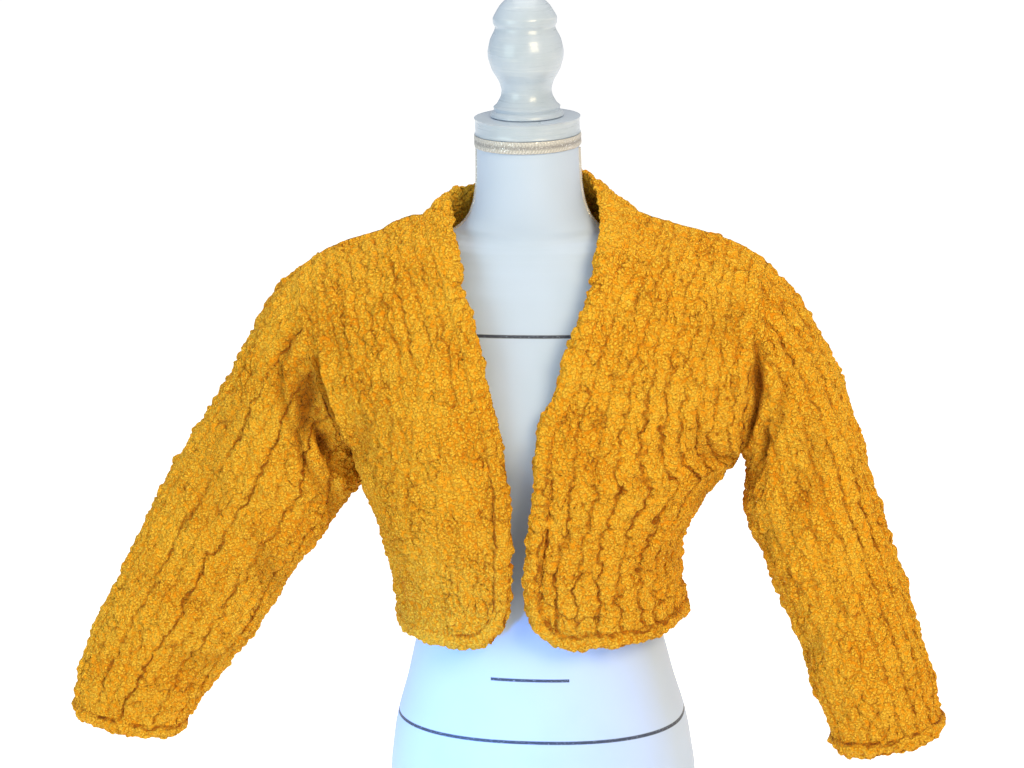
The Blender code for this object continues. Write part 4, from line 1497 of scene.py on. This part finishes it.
@dataclass
class Rim:
    """A panel's free edge: its points, outward directions and directions away from the panel."""

    path: Array
    normal: Array
    out: Array

    @classmethod
    def along(
        cls, path: Array, normal: Array, inside: Array, level: tuple[int, ...] = (), pitch: float = 1.7
    ) -> "Rim":
        """Spreads points evenly along an edge and finds the directions there.

        Args:
            path: Points of the edge.
            normal: The panel's outward directions there.
            inside: Points a little way into the panel.
            level: Ends whose direction stays in the seam's plane.
            pitch: Distance between points in millimetres.

        Returns:
            The rim.
        """
        far = run_length(path)
        at = np.linspace(0, far[-1], round(far[-1] / pitch) + 1)
        path, normal, inside = (read_along(values, far, at) for values in (path, normal, inside))
        normal = unit(normal)
        out = unit(np.cross(unit(np.gradient(path, axis=0)), normal))
        out *= np.sign(np.sum(out * (path - inside)))
        for end in level:
            out[end, 1] = 0
        return cls(path, normal, unit(out))

    def evened(self, rounds: int) -> "Rim":
        """The rim with its directions drawn towards their neighbours.

        Args:
            rounds: How often each is drawn.

        Returns:
            The new rim.
        """

        def even(vectors: Array) -> Array:
            """Directions evened out, the end ones kept.

            Args:
                vectors: The directions.

            Returns:
                The directions, evened.
            """
            for _ in range(rounds):
                inner = unit(vectors[:-2] + 2 * vectors[1:-1] + vectors[2:])
                vectors = np.concatenate([vectors[:1], inner, vectors[-1:]])
            return vectors

        out, normal = even(self.out), even(self.normal)
        return Rim(self.path, unit(normal - dot(normal, out) * out), out)


@dataclass
class Edging:
    """A thick knitted edging along a rim, curving away from the panel's face."""

    name: str
    rim: Rim
    width: Array | float
    turn: Array | float
    knit: Knit
    around: int = 34
    closed: bool = False
    band: float = 24.0
    seam: Array | float = 0.8
    slim: float = 0.0
    level_ends: tuple[bool, bool] = (True, True)

    def section(self) -> Array:
        """Points of the edging's cross-section along the rim, without stitches.

        Returns:
            The points, one row for each point of the rim.
        """
        rim = self.rim
        width = np.broadcast_to(np.asarray(self.width, float), len(rim.path))
        turn = np.radians(np.broadcast_to(np.asarray(self.turn, float), len(rim.path)))
        foot = rim.path - rim.normal * WALL / 2 - rim.out * SEAM_OVERLAP
        rings = []
        for share, over, below in zip(*EDGING_SECTION.values()):
            angle = (turn * share)[:, None]
            reach = np.sin(angle) / turn[:, None] * width[:, None]
            lift = (1 - np.cos(angle)) / turn[:, None] * width[:, None]
            side = np.cos(angle) * rim.normal - np.sin(angle) * rim.out
            height = WALL / 2 + over - below * WALL
            rings.append(foot + rim.out * reach + rim.normal * lift + side * height)
        return np.stack(rings, axis=1)

    def rounded(self) -> Array:
        """The cross-sections on a smooth closed curve through their points.

        Returns:
            The points, one row for each point of the rim.
        """
        rings = self.section()
        count = rings.shape[1]
        span = np.linalg.norm(np.roll(rings, -1, axis=1) - rings, axis=-1).mean(axis=0)
        at = np.concatenate([[0], np.cumsum(span)])
        where = np.arange(self.around) / self.around * at[-1]
        i = np.clip(np.searchsorted(at, where, side="right") - 1, 0, count - 1)
        f = ((where - at[i]) / span[i])[None, :, None]
        curved, straight = between(tuple(rings[:, (i + k) % count] for k in (-1, 0, 1, 2)), f)
        return 0.7 * curved + 0.3 * straight

    def make(self, finish: Dressing) -> bpy.types.Object:
        """Makes the edging with its stitches.

        Args:
            finish: What dresses it.

        Returns:
            The piece.
        """
        rings = self.rounded()
        along_path = np.gradient(rings, axis=0)
        if self.closed:
            along_path = np.roll(rings, -1, axis=0) - np.roll(rings, 1, axis=0)
        turned = np.roll(rings, -1, axis=1) - np.roll(rings, 1, axis=1)
        normal = unit(np.cross(along_path, turned))
        normal *= np.sign(np.sum(normal * (rings - rings.mean(axis=1, keepdims=True))))
        away = self.rim.out[:, None]
        out = dot(rings - self.rim.path[:, None], away)[..., 0]
        far = np.broadcast_to(run_length(self.rim.path)[:, None], out.shape)
        seam = np.broadcast_to(np.asarray(self.seam, float).reshape(-1, 1), out.shape)
        rise, marks = self.knit.relief(out / self.band + 0.04, far, rings, clear=np.clip(2 * seam, 0.1, 1))
        level = SEAM_RISE * (1 - seam)
        rise = level + (rise - level) * ramp(out, -1, 8) - self.slim * ramp(out, 4, 16)
        normal = normal - np.minimum(dot(normal, away), 0) * (1 - ramp(out, 1, 5))[..., None] * away
        if not self.closed:
            first, last = (0.0 if level_end else FAR for level_end in self.level_ends)
            ends = np.minimum(far + first, far[-1, 0] - far + last)
            rise = SEAM_RISE + (rise - SEAM_RISE) * ramp(ends, -3, 7)
        rings = rings + rise[..., None] * normal
        shell = Shell()
        numbers = shell.add(rings, marks, seam_hollow(seam, out, rings))
        if self.closed:
            numbers = np.concatenate([numbers, numbers[:1]], axis=0)
        shell.skin(numbers, around=True)
        if not self.closed:
            shell.cap(numbers)
        thing = shell.piece("knit_" + self.name, finish)
        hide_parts(self.name)
        return thing


@dataclass
class Front:
    """One front with its edging."""

    side: Side
    finish: Dressing
    knit: Knit
    edging_knit: Knit
    ribs: int = 10
    rows: int = 306
    columns: int = 154
    bunch: float = 1.35
    clear: tuple[float, float] = (1.0, 1.0)  # how clearly the columns show at the hem and at the shoulder
    size: tuple[float, float] = (240.0, 500.0)

    def lay_out(self) -> Cut:
        """The front's outer face.

        Returns:
            The face laid out.
        """
        share = np.linspace(0, 1, self.columns + 1) ** self.bunch
        height, width = np.meshgrid(np.linspace(0, 1, self.rows + 1), share, indexing="ij")
        near = np.clip(1 - width / CORNER_SPAN, 0, 1)
        start = CORNER_RISE * (1 - np.sqrt(1 - near**2))
        t = start + (1 - start) * height
        surface = partial(Pattern.front, self.side)
        face = surface(width, t)
        normal = Pattern.normals(surface, width, t, self.side.sign)
        normal[-1] = Pattern.seam_normals(self.side, face[-1])
        below = t[:, -1] < UNDERARM
        normal[below, -1] = Pattern.seam_normals(self.side, face[below, -1])
        normal[~below, -1] = Pattern.armhole_normal(self.side, Pattern.armhole_angle(t[~below, -1]), -1.0)
        along = run_length(face)
        creased, sunk = folded(face, normal, FRONT_FOLDS[self.side], width, t, self.size)
        hold = ramp(self.size[0] * (1 - width), *HOLD)[..., None]
        face = Pattern.uneven(self.side, face + hold * (creased - face))
        clear = self.clear[0] + (self.clear[1] - self.clear[0]) * ramp(t - 0.25 * width, 0.35, 0.7)
        clear = clear * (1 - 0.8 * (1 - ramp(width, 0.03, 0.07)) * ramp(t, 0.35, 0.5))
        return Cut(face, normal, width, t, width * self.ribs, along, self.knit, sunk, clear)

    def make(self) -> bpy.types.Object:
        """Returns:
            The front without its edging.
        """
        cut = self.lay_out()
        name = "front_" + self.side.value
        seam = self.seam(cut)
        if self.side is Side.RIGHT:
            seam = seam * (1 - 0.85 * (1 - ramp(cut.v, 0.03, 0.1)) * ramp(cut.u, 0.2, 0.45))
        panel, flat = knit_panel(cut, name, self.finish, (self.side,), seam)
        rim = self.rim(cut)
        stop = rim.path[:, 2] < self.collar_height(cut) + COLLAR_OVERLAP
        lower = Rim(rim.path[stop], rim.normal[stop], rim.out[stop])
        drawn = 0.6 * (1 - ramp(lower.path[:, 2], 430, 550))
        if self.side is Side.RIGHT:
            drawn = drawn * (0.15 + 0.85 * ramp(lower.path[:, 0], -120, -50))
        edging = Edging(
            "edging_" + name, lower, EDGING_WIDTH, EDGING_TURN, self.edging_knit,
            seam=drawn, slim=2.0, level_ends=(True, False),
        )
        border = edging.make(self.finish)
        return panel

    @staticmethod
    def seam(cut: Cut) -> Array:
        """How deep the seams are drawn in: less towards the shoulder.

        Args:
            cut: The panel laid out.

        Returns:
            The depth at each point, from 0 to 1.
        """
        armhole = ramp(cut.u, 0.7, 0.9)
        edge = ramp(cut.v, 0.04, 0.12) * (1 - armhole)
        return (0.75 + 0.25 * armhole - 0.4 * edge) * (1 - ramp(cut.v - 0.2 * armhole, 0.40, 0.62))

    def rim(self, cut: Cut) -> Rim:
        """The front's free edge from the side seam along the hem and up to the neck.

        Args:
            cut: The front laid out.

        Returns:
            The edge.
        """
        path = np.concatenate([cut.face[0, ::-1], cut.face[1:, 0]])
        normal = np.concatenate([cut.normal[0, ::-1], cut.normal[1:, 0]])
        inside = np.concatenate([cut.face[3, ::-1], cut.face[1:, 3]])
        return Rim.along(path, normal, inside, level=(0, -1)).evened(8)

    @staticmethod
    def collar_height(cut: Cut) -> float:
        """Height at which the edging ends and the collar begins."""
        return float(cut.face[np.argmax(cut.v[:, 0] >= COLLAR_START), 0, 2])


@dataclass
class Back:
    """The back with the edging along its hem."""

    finish: Dressing
    knit: Knit
    edging_knit: Knit
    ribs: int = 22
    rows: int = 276
    columns: int = 298
    size: tuple[float, float] = (520.0, 490.0)

    def lay_out(self) -> Cut:
        """The back's outer face.

        Returns:
            The face laid out.
        """
        share = np.linspace(0, 1, self.columns + 1)
        t, width = np.meshgrid(np.linspace(0, 1, self.rows + 1), share, indexing="ij")
        face = Pattern.back(width, t)
        normal = Pattern.normals(Pattern.back, width, t, -1.0)
        middle, last = self.columns // 2, self.columns
        point = int(np.argmax(share >= NECK_SHARE - STEP)) - 1
        for side, first, way in ((Side.RIGHT, 0, 1), (Side.LEFT, last, -1)):
            seam = first + way * np.arange(point + 1)
            line = Pattern.shoulder_line(side, np.linspace(1, 0, len(seam)))
            normal[-1, seam] = Pattern.seam_normals(side, line)
            run = np.arange(seam[-1], middle, way)
            turn = np.linspace(0, math.pi / 2, len(run) + 1)[:-1, None]
            normal[-1, run] = unit(normal[-1, seam[-1]] * np.cos(turn) + normal[-1, middle] * np.sin(turn))
        below = t[:, 0] < UNDERARM
        for side, column in ((Side.RIGHT, 0), (Side.LEFT, -1)):
            normal[below, column] = Pattern.seam_normals(side, face[below, column])
            angle = Pattern.armhole_angle(t[~below, column])
            normal[~below, column] = Pattern.armhole_normal(side, angle, 1.0)
        along = run_length(face)
        creased, sunk = folded(face, normal, BACK_FOLDS, width, t, self.size)
        hold = ramp(self.size[0] * np.minimum(width, 1 - width), *HOLD)[..., None]
        face = face + hold * (creased - face)
        for side in Side:
            face = Pattern.uneven(side, face)
        return Cut(face, normal, width, t, width * self.ribs, along, self.knit, sunk)

    def make(self, cut: Cut, with_pieces: list) -> bpy.types.Object:
        """Args:
            cut: The back laid out.
            with_pieces: Other pieces that go with it.

        Returns:
            The back.
        """
        panel, flat = knit_panel(cut, "back", self.finish, tuple(Side), Front.seam(cut))
        rim = Rim.along(cut.face[0], cut.normal[0], cut.face[3], level=(0, -1))
        edging = Edging("edging_back", rim, EDGING_WIDTH, EDGING_TURN, self.edging_knit, slim=2.0)
        pieces = [edging.make(self.finish), *with_pieces]
        return panel


@dataclass
class Collar:
    """The low collar from one front edge round the back neck to the other."""

    finish: Dressing
    knit: Knit
    pitch: float = 1.8

    def make(self, fronts: dict[Side, tuple[Cut, Rim, float]], back: Cut) -> bpy.types.Object:
        """Makes the collar.

        Args:
            fronts: Each front laid out, its rim and the height at which the collar starts.
            back: The back laid out.

        Returns:
            The collar.
        """
        upper = {}
        for side, (cut, rim, height) in fronts.items():
            keep = rim.path[:, 2] >= height
            upper[side] = (rim.path[keep], rim.normal[keep], rim.out[keep][:1])
        share = np.linspace(0, 1, back.face.shape[1])
        neck = np.flatnonzero(np.abs(share - 0.5) < 0.5 - NECK_SHARE - STEP)
        right, left = upper[Side.RIGHT], upper[Side.LEFT]
        path = np.concatenate([right[0], back.face[-1, neck], left[0][::-1]])
        normal = np.concatenate([right[1], back.normal[-1, neck], left[1][::-1]])
        far = run_length(path)
        at = np.linspace(0, far[-1], round(far[-1] / self.pitch) + 1)
        spread = [read_along(values, far, at) for values in (path, normal)]
        out = unit(np.cross(unit(np.gradient(spread[0], axis=0)), spread[1]))
        middle = len(at) // 2
        away = spread[0][middle] - back.face[-8, back.face.shape[1] // 2]
        out *= np.sign(np.sum(out[middle] * away))
        out[:3], out[-3:] = right[2], left[2]
        rim = Rim(spread[0], unit(spread[1]), out).evened(70)
        q = at / at[-1]
        height, turn = smooth(COLLAR, "q", "height", q), smooth(COLLAR, "q", "turn", q)
        collar = Edging(
            "collar", rim, height, turn, self.knit, around=64, band=23.0, seam=0.0, level_ends=(False, False)
        )
        return collar.make(self.finish)


@dataclass
class Sleeve:
    """One sleeve with its cuff."""

    side: Side
    finish: Dressing
    knit: Knit
    cuff_knit: Knit
    ribs: int
    clear: tuple[tuple[float, ...], tuple[float, ...]]  # shares round it, and how clearly the columns show
    cuff_width: float = 25.0
    cuff_points: int = 224
    rows: int = 285
    columns: int = 282
    size: tuple[float, float] = (500.0, 520.0)

    def make(self) -> bpy.types.Object:
        """Returns:
            The sleeve without its cuff.
        """
        share = np.arange(self.columns) / self.columns
        v, around = np.meshgrid(np.linspace(0, 1, self.rows + 1), share, indexing="ij")

        def surface(u: Array, t: Array) -> Array:
            """The sleeve's outer face, where u counts turns round it."""
            return Pattern.sleeve(self.side, FULL_TURN * u, t)

        face = surface(around, v)
        across = surface(around + STEP, v) - surface(around - STEP, v)
        onward = surface(around, np.minimum(v + STEP, 1)) - surface(around, np.maximum(v - STEP, 0))
        normal = unit(np.cross(across, onward))
        normal *= np.sign(dot(normal, face - face.mean(axis=1, keepdims=True)))
        normal[0], normal[-1] = self.ring_normal(face[0]), self.ring_normal(face[-1])
        along = run_length(face)
        girth = np.linalg.norm(np.roll(face, -1, axis=1) - face, axis=-1).sum(axis=1)
        edge = np.minimum(along, along[-1:] - along)
        hold = ramp(edge, *HOLD)[..., None]
        creased, sunk = folded(face, normal, SLEEVE_FOLDS[self.side], around, v, self.size)
        face = Pattern.uneven(self.side, face + hold * (creased - face))
        clear = np.interp(around, *self.clear, period=1)
        cut = Cut(face, normal, around, v, around * self.ribs, along, self.knit, sunk, clear)
        room = Pattern.room(self.side, face, normal, 1.0)
        name = "sleeve_" + self.side.value
        seam = np.where(v < 0.5, 0.85 * ramp(1 - np.cos(FULL_TURN * around), 0.5, 1.4), 0.7)
        tube = knit_shell(cut, True, edge, room, seam).piece("knit_" + name, self.finish)
        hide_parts(name)
        cuff = self.cuff()
        return tube

    @staticmethod
    def ring_axis(ring: Array) -> Array:
        """Direction square to a flat ring's plane."""
        centre = ring.mean(axis=0)
        return unit(np.cross(ring[0] - centre, ring[len(ring) // 4] - centre))

    @classmethod
    def ring_normal(cls, ring: Array) -> Array:
        """Outward directions of a flat ring, in its own plane.

        Args:
            ring: Points of the ring in order.

        Returns:
            The directions.
        """
        tangent = unit(np.roll(ring, -1, axis=0) - np.roll(ring, 1, axis=0))
        normal = unit(np.cross(tangent, cls.ring_axis(ring)))
        return normal * np.sign(np.sum(normal * (ring - ring.mean(axis=0))))

    def cuff(self) -> bpy.types.Object:
        """The cuff, which draws in.

        Returns:
            The piece.
        """
        phi = round_angles(self.cuff_points)
        ring = Pattern.sleeve(self.side, phi, np.ones_like(phi))
        towards = ring - Pattern.sleeve(self.side, phi, np.full_like(phi, 1 - STEP))
        axis = self.ring_axis(ring)
        axis = axis * np.sign(np.sum(axis * towards))
        rim = Rim(ring, self.ring_normal(ring), np.broadcast_to(axis, ring.shape))
        name = "cuff_" + self.side.value
        cuff = Edging(name, rim, self.cuff_width, CUFF_TURN, self.cuff_knit, closed=True, slim=3.0)
        return cuff.make(self.finish)


@dataclass
class DressForm:
    """The torso with its cover, braid, piping, cap, finial and board."""

    jersey: Dressing
    braid: Dressing
    paint: Dressing
    around: int = 120
    rings: int = 150
    turned_around: int = 96
    piping_reach: float = 150.0
    piping_end: float = 640.0
    piping_pitch: float = 0.9
    piping_radius: float = 2.3

    @staticmethod
    def oval(
        half_width: Array, front: Array, back: Array, power: Array, pinch: Array, angle: Array
    ) -> tuple[Array, Array]:
        """Outline of a body ring, as deep in front and behind as given.

        Args:
            half_width: Half its width.
            front: Its frontmost y.
            back: Its hindmost y.
            power: 2 for an ellipse, more for a squarer outline.
            pinch: How much flatter its ends are, from 0 to 1.
            angle: Angles round it, from the left side.

        Returns:
            The points' x and y.
        """
        across = np.sign(np.cos(angle)) * np.abs(np.cos(angle)) ** (2 / power)
        deep = np.where(np.sin(angle) < 0, -front, back) * (1 - pinch * across**2)
        return half_width * across, deep * np.sign(np.sin(angle)) * np.abs(np.sin(angle)) ** (2 / power)

    def torso_points(self, s: Array, angle: Array) -> Array:
        """Points of the torso: s counts the table's rows, angle runs round from the left side.

        Args:
            s: Places down the table, in rows.
            angle: Angles round the body.

        Returns:
            The points.
        """
        index = np.arange(len(TORSO["z"]), dtype=float)
        tab = {**TORSO, "row": index}
        z, half, front, back, drop, power, pinch = (
            np.interp(s, index, TORSO[name]) if name == "z" else smooth(tab, "row", name, s)
            for name in ("z", "half_width", "front", "back", "drop", "power", "pinch")
        )
        x, y = self.oval(half, front, back, power, np.clip(pinch, 0, 1), angle)
        away = ((np.abs(x) - BUST["x"]) / BUST["wide"]) ** 2 + ((z - BUST["z"]) / BUST["high"]) ** 2
        y = y - np.where(y < 0, BUST["forward"] * np.exp(-away), 0)
        return points(x, y, z - drop * (x / half) ** 2)

    def torso(self) -> bpy.types.Object:
        """The padded body under its cover.

        Returns:
            The piece.
        """
        rows = len(TORSO["z"]) - 1
        heights = np.linspace(0, rows, self.rings)
        s, angle = np.meshgrid(heights, round_angles(self.around), indexing="ij")
        shell = Shell()
        numbers = shell.add(self.torso_points(s, angle))
        shell.skin(numbers, around=True)
        shell.cap(numbers)
        thing = shell.piece("form_cover", self.jersey, sharp=50)
        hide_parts("form_torso")
        return thing

    def tube(self, name: str, path: Array, radius: float, count: int = 8) -> bpy.types.Object:
        """A twisted piping along a path.

        Args:
            name: The piece's name.
            path: Points of its middle.
            radius: Its radius in millimetres.
            count: Points round it.

        Returns:
            The piece.
        """
        tangent = unit(np.gradient(path, axis=0))
        side = unit(np.cross(tangent, np.array([0.0, 1.0, 0.0])))
        lift = np.cross(side, tangent)
        angle = round_angles(count)
        far = run_length(path)[:, None]
        bead = radius * (1 + 0.16 * np.cos(2 * angle[None] + far * 2.4))
        spokes = np.cos(angle)[None, :, None] * side[:, None] + np.sin(angle)[None, :, None] * lift[:, None]
        shell = Shell()
        rings = path[:, None] + bead[..., None] * spokes
        numbers = shell.add(rings, dip=np.clip(1.2 - bead / radius, 0, 1))
        shell.skin(numbers, around=True)
        shell.cap(numbers)
        return shell.piece(name, self.braid)

    def piping(self) -> None:
        """The light piping down both sides of the neck and out along the shoulders."""
        rows = len(TORSO["z"]) - 1
        s = np.linspace(rows - 0.3, 0, 4000)
        for side in Side:
            line = self.torso_points(s, np.full(len(s), 0.0 if side is Side.LEFT else math.pi))
            keep = (np.abs(line[:, 0]) < self.piping_reach) & (line[:, 2] > self.piping_end)
            line = line[keep]
            far = run_length(line)
            path = read_along(line, far, np.arange(0, far[-1], self.piping_pitch))
            self.tube("form_piping_" + side.value, path, self.piping_radius)

    def trim(self) -> bpy.types.Object:
        """The narrow braid round the top of the neck.

        Returns:
            The piece.
        """
        sizes = NECK_BRAID
        a, b = np.meshgrid(round_angles(520), round_angles(18), indexing="ij")
        flat = sizes["radius"] + sizes["clear"] + sizes["raised"] * (1 + np.cos(b)) / 2
        above = sizes["half_width"] * np.sign(np.sin(b)) * np.abs(np.sin(b)) ** 0.7
        strand = np.abs(np.sin(a * sizes["strands"] + above * 0.55 * np.sign(above)))
        face = np.clip(np.cos(b) + 0.3, 0, 1)
        radius = flat + face * (0.5 * strand - 0.5 * np.exp(-((above / 0.8) ** 2)))
        shell = Shell()
        groove = face * (1 - strand) + face * np.exp(-((above / 0.9) ** 2))
        rings = points(radius * np.cos(a), radius * np.sin(a), sizes["height"] + above)
        numbers = shell.add(rings, dip=groove)
        shell.skin(np.concatenate([numbers, numbers[:1]]), around=True)
        thing = shell.piece("neck_braid", self.braid)
        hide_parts("form_neck_trim")
        return thing

    def turned(self, name: str, node: str, profile: tuple, soften: int) -> bpy.types.Object:
        """A turned piece from its profile of radius and height.

        Args:
            name: The piece's name.
            node: The CAD node that it stands for.
            profile: Radius and height of each corner.
            soften: Points between two corners.

        Returns:
            The piece.
        """
        corner = np.array(profile, float)
        shares = np.arange(soften)[:, None] / soften
        spans = [between(tuple(corner[i - 1 : i + 3]), shares) for i in range(1, len(corner) - 2)]
        fine = [0.5 * curved + 0.5 * straight for curved, straight in spans]
        line = np.concatenate([*fine, corner[-2:-1]])
        angle, count = round_angles(self.turned_around), self.turned_around
        shell = Shell()
        numbers = shell.add(points(line[:, :1] * np.cos(angle), line[:, :1] * np.sin(angle), line[:, 1:]))
        shell.skin(numbers, around=True)
        for end, ring in ((corner[0], numbers[0]), (corner[-1], numbers[-1][::-1])):
            tip = int(shell.add(np.array([[0.0, 0.0, end[1]]]))[0])
            shell.faces += [(int(ring[i]), int(ring[(i + 1) % count]), tip) for i in range(count)]
        thing = shell.piece(name, self.paint, sharp=38)
        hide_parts(node)
        return thing

    def board(self) -> bpy.types.Object:
        """The flat board that the form stands on.

        Returns:
            The piece.
        """
        angle = round_angles(self.around)
        top, edge = BOARD["top"], BOARD["round"]
        lean = np.linspace(0, math.pi / 2, 5)
        low = [(edge * (1 - math.sin(a)), edge * (1 - math.cos(a))) for a in lean]
        rings = []
        for inset, z in [*((i, h) for h, i in low), *((i, top - h) for h, i in reversed(low))]:
            front, back = BOARD["front"] + inset, BOARD["back"] - inset
            x, y = self.oval(BOARD["half_width"] - inset, front, back, BOARD["power"], 0, angle)
            rings.append(points(x, y, z))
        shell = Shell()
        numbers = shell.add(np.array(rings))
        shell.skin(numbers, around=True)
        shell.cap(numbers)
        thing = shell.piece("stand_board", self.paint, sharp=50)
        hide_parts("form_board")
        return thing

    def make(self) -> None:
        """Makes every piece of the form."""
        self.torso()
        self.piping()
        self.trim()
        self.turned("neck_cap", "form_neck_cap", CAP_PROFILE, 3)
        self.turned("finial", "form_finial", FINIAL_PROFILE, 4)
        self.board()


@dataclass(frozen=True)
class Lamp:
    """A soft square light that looks at a point."""

    name: str
    place: tuple[float, float, float]
    size: float
    power: float
    colour: Colour
    target: tuple[float, float, float] = (0.0, 0.0, 0.45)
    cone: float = 0.0

    def make(self) -> None:
        """Makes the light."""
        data = bpy.data.lights.new(self.name, "SPOT" if self.cone else "AREA")
        data.energy, data.color = self.power, self.colour
        if self.cone:
            data.spot_size, data.spot_blend, data.shadow_soft_size = math.radians(self.cone), 1.0, self.size
        else:
            data.size = self.size
        lamp = in_scene(self.name, data)
        back = unit(np.array(self.place) - np.array(self.target))
        right = unit(np.cross(np.array([0.0, 0.0, 1.0]), back))
        turn = np.stack([right, np.cross(back, right), back], axis=1)
        lamp.matrix_world = Matrix.Translation(self.place) @ Matrix(turn.tolist()).to_4x4()


@dataclass
class Studio:
    """Floor, surroundings, lights and camera."""

    focal: float = 2609 / 1024 * 36
    distance: float = 3.0
    azimuth: float = 8.0
    elevation: float = 16.0
    roll: float = 1.5
    target: tuple[float, float, float] = (-0.025, 0.0, 0.513)
    surround: float = 0.45
    half_floor: float = 12.0
    floor_glow: float = 0.62
    lamps: tuple[Lamp, ...] = (
        Lamp("key", (1.7, -2.4, 2.3), 1.4, 76.0, (1.0, 0.81, 0.50)),
        Lamp("fill", (-2.2, -2.2, 1.3), 1.8, 32.0, (0.82, 1.0, 0.97)),
        Lamp("low", (-0.75, -1.6, 0.06), 0.15, 240.0, (0.0, 0.30, 1.0), (-0.09, -0.1, 0.08), 17.0),
        Lamp("top", (0.0, 0.4, 3.0), 2.2, 28.0, (1.0, 0.97, 0.93)),
    )

    def floor(self) -> None:
        """A plain pale floor, which glows behind the part and hardly in front of it."""
        mesh = bpy.data.meshes.new("floor")
        half = self.half_floor
        corners = [(-half, -half, 0), (half, -half, 0), (half, half, 0), (-half, half, 0)]
        mesh.from_pydata(corners, [], [(0, 1, 2, 3)])
        g = Graph("floor_pale")
        behind = g.step(g.axes()[1], -0.4, 0.04)
        g.feed(g.shader.inputs["Base Color"], g.mix((0.95, 0.95, 0.95), (0.92, 0.92, 0.92), g.noise(3, 2)))
        g.feed(g.shader.inputs["Emission Color"], g.mix((0.1, 0.1, 0.1), (1.0, 1.0, 1.0), behind))
        g.set(Roughness=0.9, Emission_Strength=self.floor_glow)
        mesh.materials.append(g.material)
        in_scene("floor", mesh)

    def camera(self) -> None:
        """The photograph's viewpoint."""
        az, el, roll = (math.radians(a) for a in (self.azimuth, self.elevation, self.roll))
        back = np.array([math.sin(az) * math.cos(el), -math.cos(az) * math.cos(el), math.sin(el)])
        right = np.array([math.cos(az), math.sin(az), 0.0])
        up = np.cross(back, right)
        rolled = right * math.cos(roll) - up * math.sin(roll)
        turn = np.stack([rolled, right * math.sin(roll) + up * math.cos(roll), back], axis=1)
        data = bpy.data.cameras.new("camera")
        data.lens, data.sensor_width, data.sensor_fit = self.focal, 36.0, "HORIZONTAL"
        camera = in_scene("camera", data)
        place = np.array(self.target) + self.distance * back
        camera.matrix_world = Matrix.Translation(place.tolist()) @ Matrix(turn.tolist()).to_4x4()
        bpy.context.scene.camera = camera

    def world(self) -> None:
        """Even, nearly white surroundings."""
        world = bpy.data.worlds.new("surroundings")
        world.use_nodes = True
        light = world.node_tree.nodes["Background"]
        light.inputs["Color"].default_value = (0.97, 0.98, 1.0, 1.0)
        light.inputs["Strength"].default_value = self.surround
        bpy.context.scene.world = world

    def make(self) -> None:
        """Sets up the studio."""
        self.world()
        self.floor()
        self.camera()
        for lamp in self.lamps:
            lamp.make()
        bpy.context.scene.view_settings.view_transform = "Standard"


def main() -> None:
    """Builds and dresses every piece."""
    logging.basicConfig(level=logging.INFO, format="%(name)s %(message)s")
    Studio().make()
    jersey, braid = Jersey("jersey_cover").dress(), Braid("braid_thread").dress()
    DressForm(jersey, braid, Paint("satin_paint").dress()).make()
    yarn = Chenille("chenille_yarn").dress()
    trim = Knit(puff=19.0, rise=4.6, cross=0.6, sink=4.2, wander=0.2)
    soft = Knit(groove=0.42, cross=0.2, rise=5.0, clump=3.4, lump=10.5, wander=0.3)
    fronts = {
        Side.RIGHT: Front(Side.RIGHT, yarn, soft, trim, clear=(0.8, 1.5)),
        Side.LEFT: Front(Side.LEFT, yarn, Knit(border=24.0, wander=0.24), trim, clear=(1.0, 0.5)),
    }
    laid = {}
    for side, front in fronts.items():
        front.make()
        cut = front.lay_out()
        laid[side] = (cut, front.rim(cut), front.collar_height(cut))
    back = Back(yarn, Knit(), trim)
    back_cut = back.lay_out()
    collar = Collar(yarn, Knit(puff=19.0, rise=4.4, cross=0.5, sink=4.6)).make(laid, back_cut)
    back.make(back_cut, [collar])
    right_lay, left_lay = (-0.5, 0.0, -0.85), (0.28, 0.0, -0.95)
    long_knit = Knit(every_other=0.45, wander=0.22, clump=3.5, lump=11.5, sink=6.4, lay=right_lay)
    faint = ((0.0, 0.1, 0.2, 0.4, 0.5, 0.75), (0.45, 0.6, 1.0, 1.0, 0.9, 0.9))
    Sleeve(Side.RIGHT, yarn, long_knit, trim, 24, faint).make()
    faint = ((0.0, 0.12, 0.22, 0.36, 0.5, 0.75), (1.0, 1.0, 0.5, 0.45, 0.8, 0.9))
    Sleeve(Side.LEFT, yarn, Knit(sink=7.6, lay=left_lay), trim, 20, faint, 27.0).make()


if __name__ == "__main__":
    main()
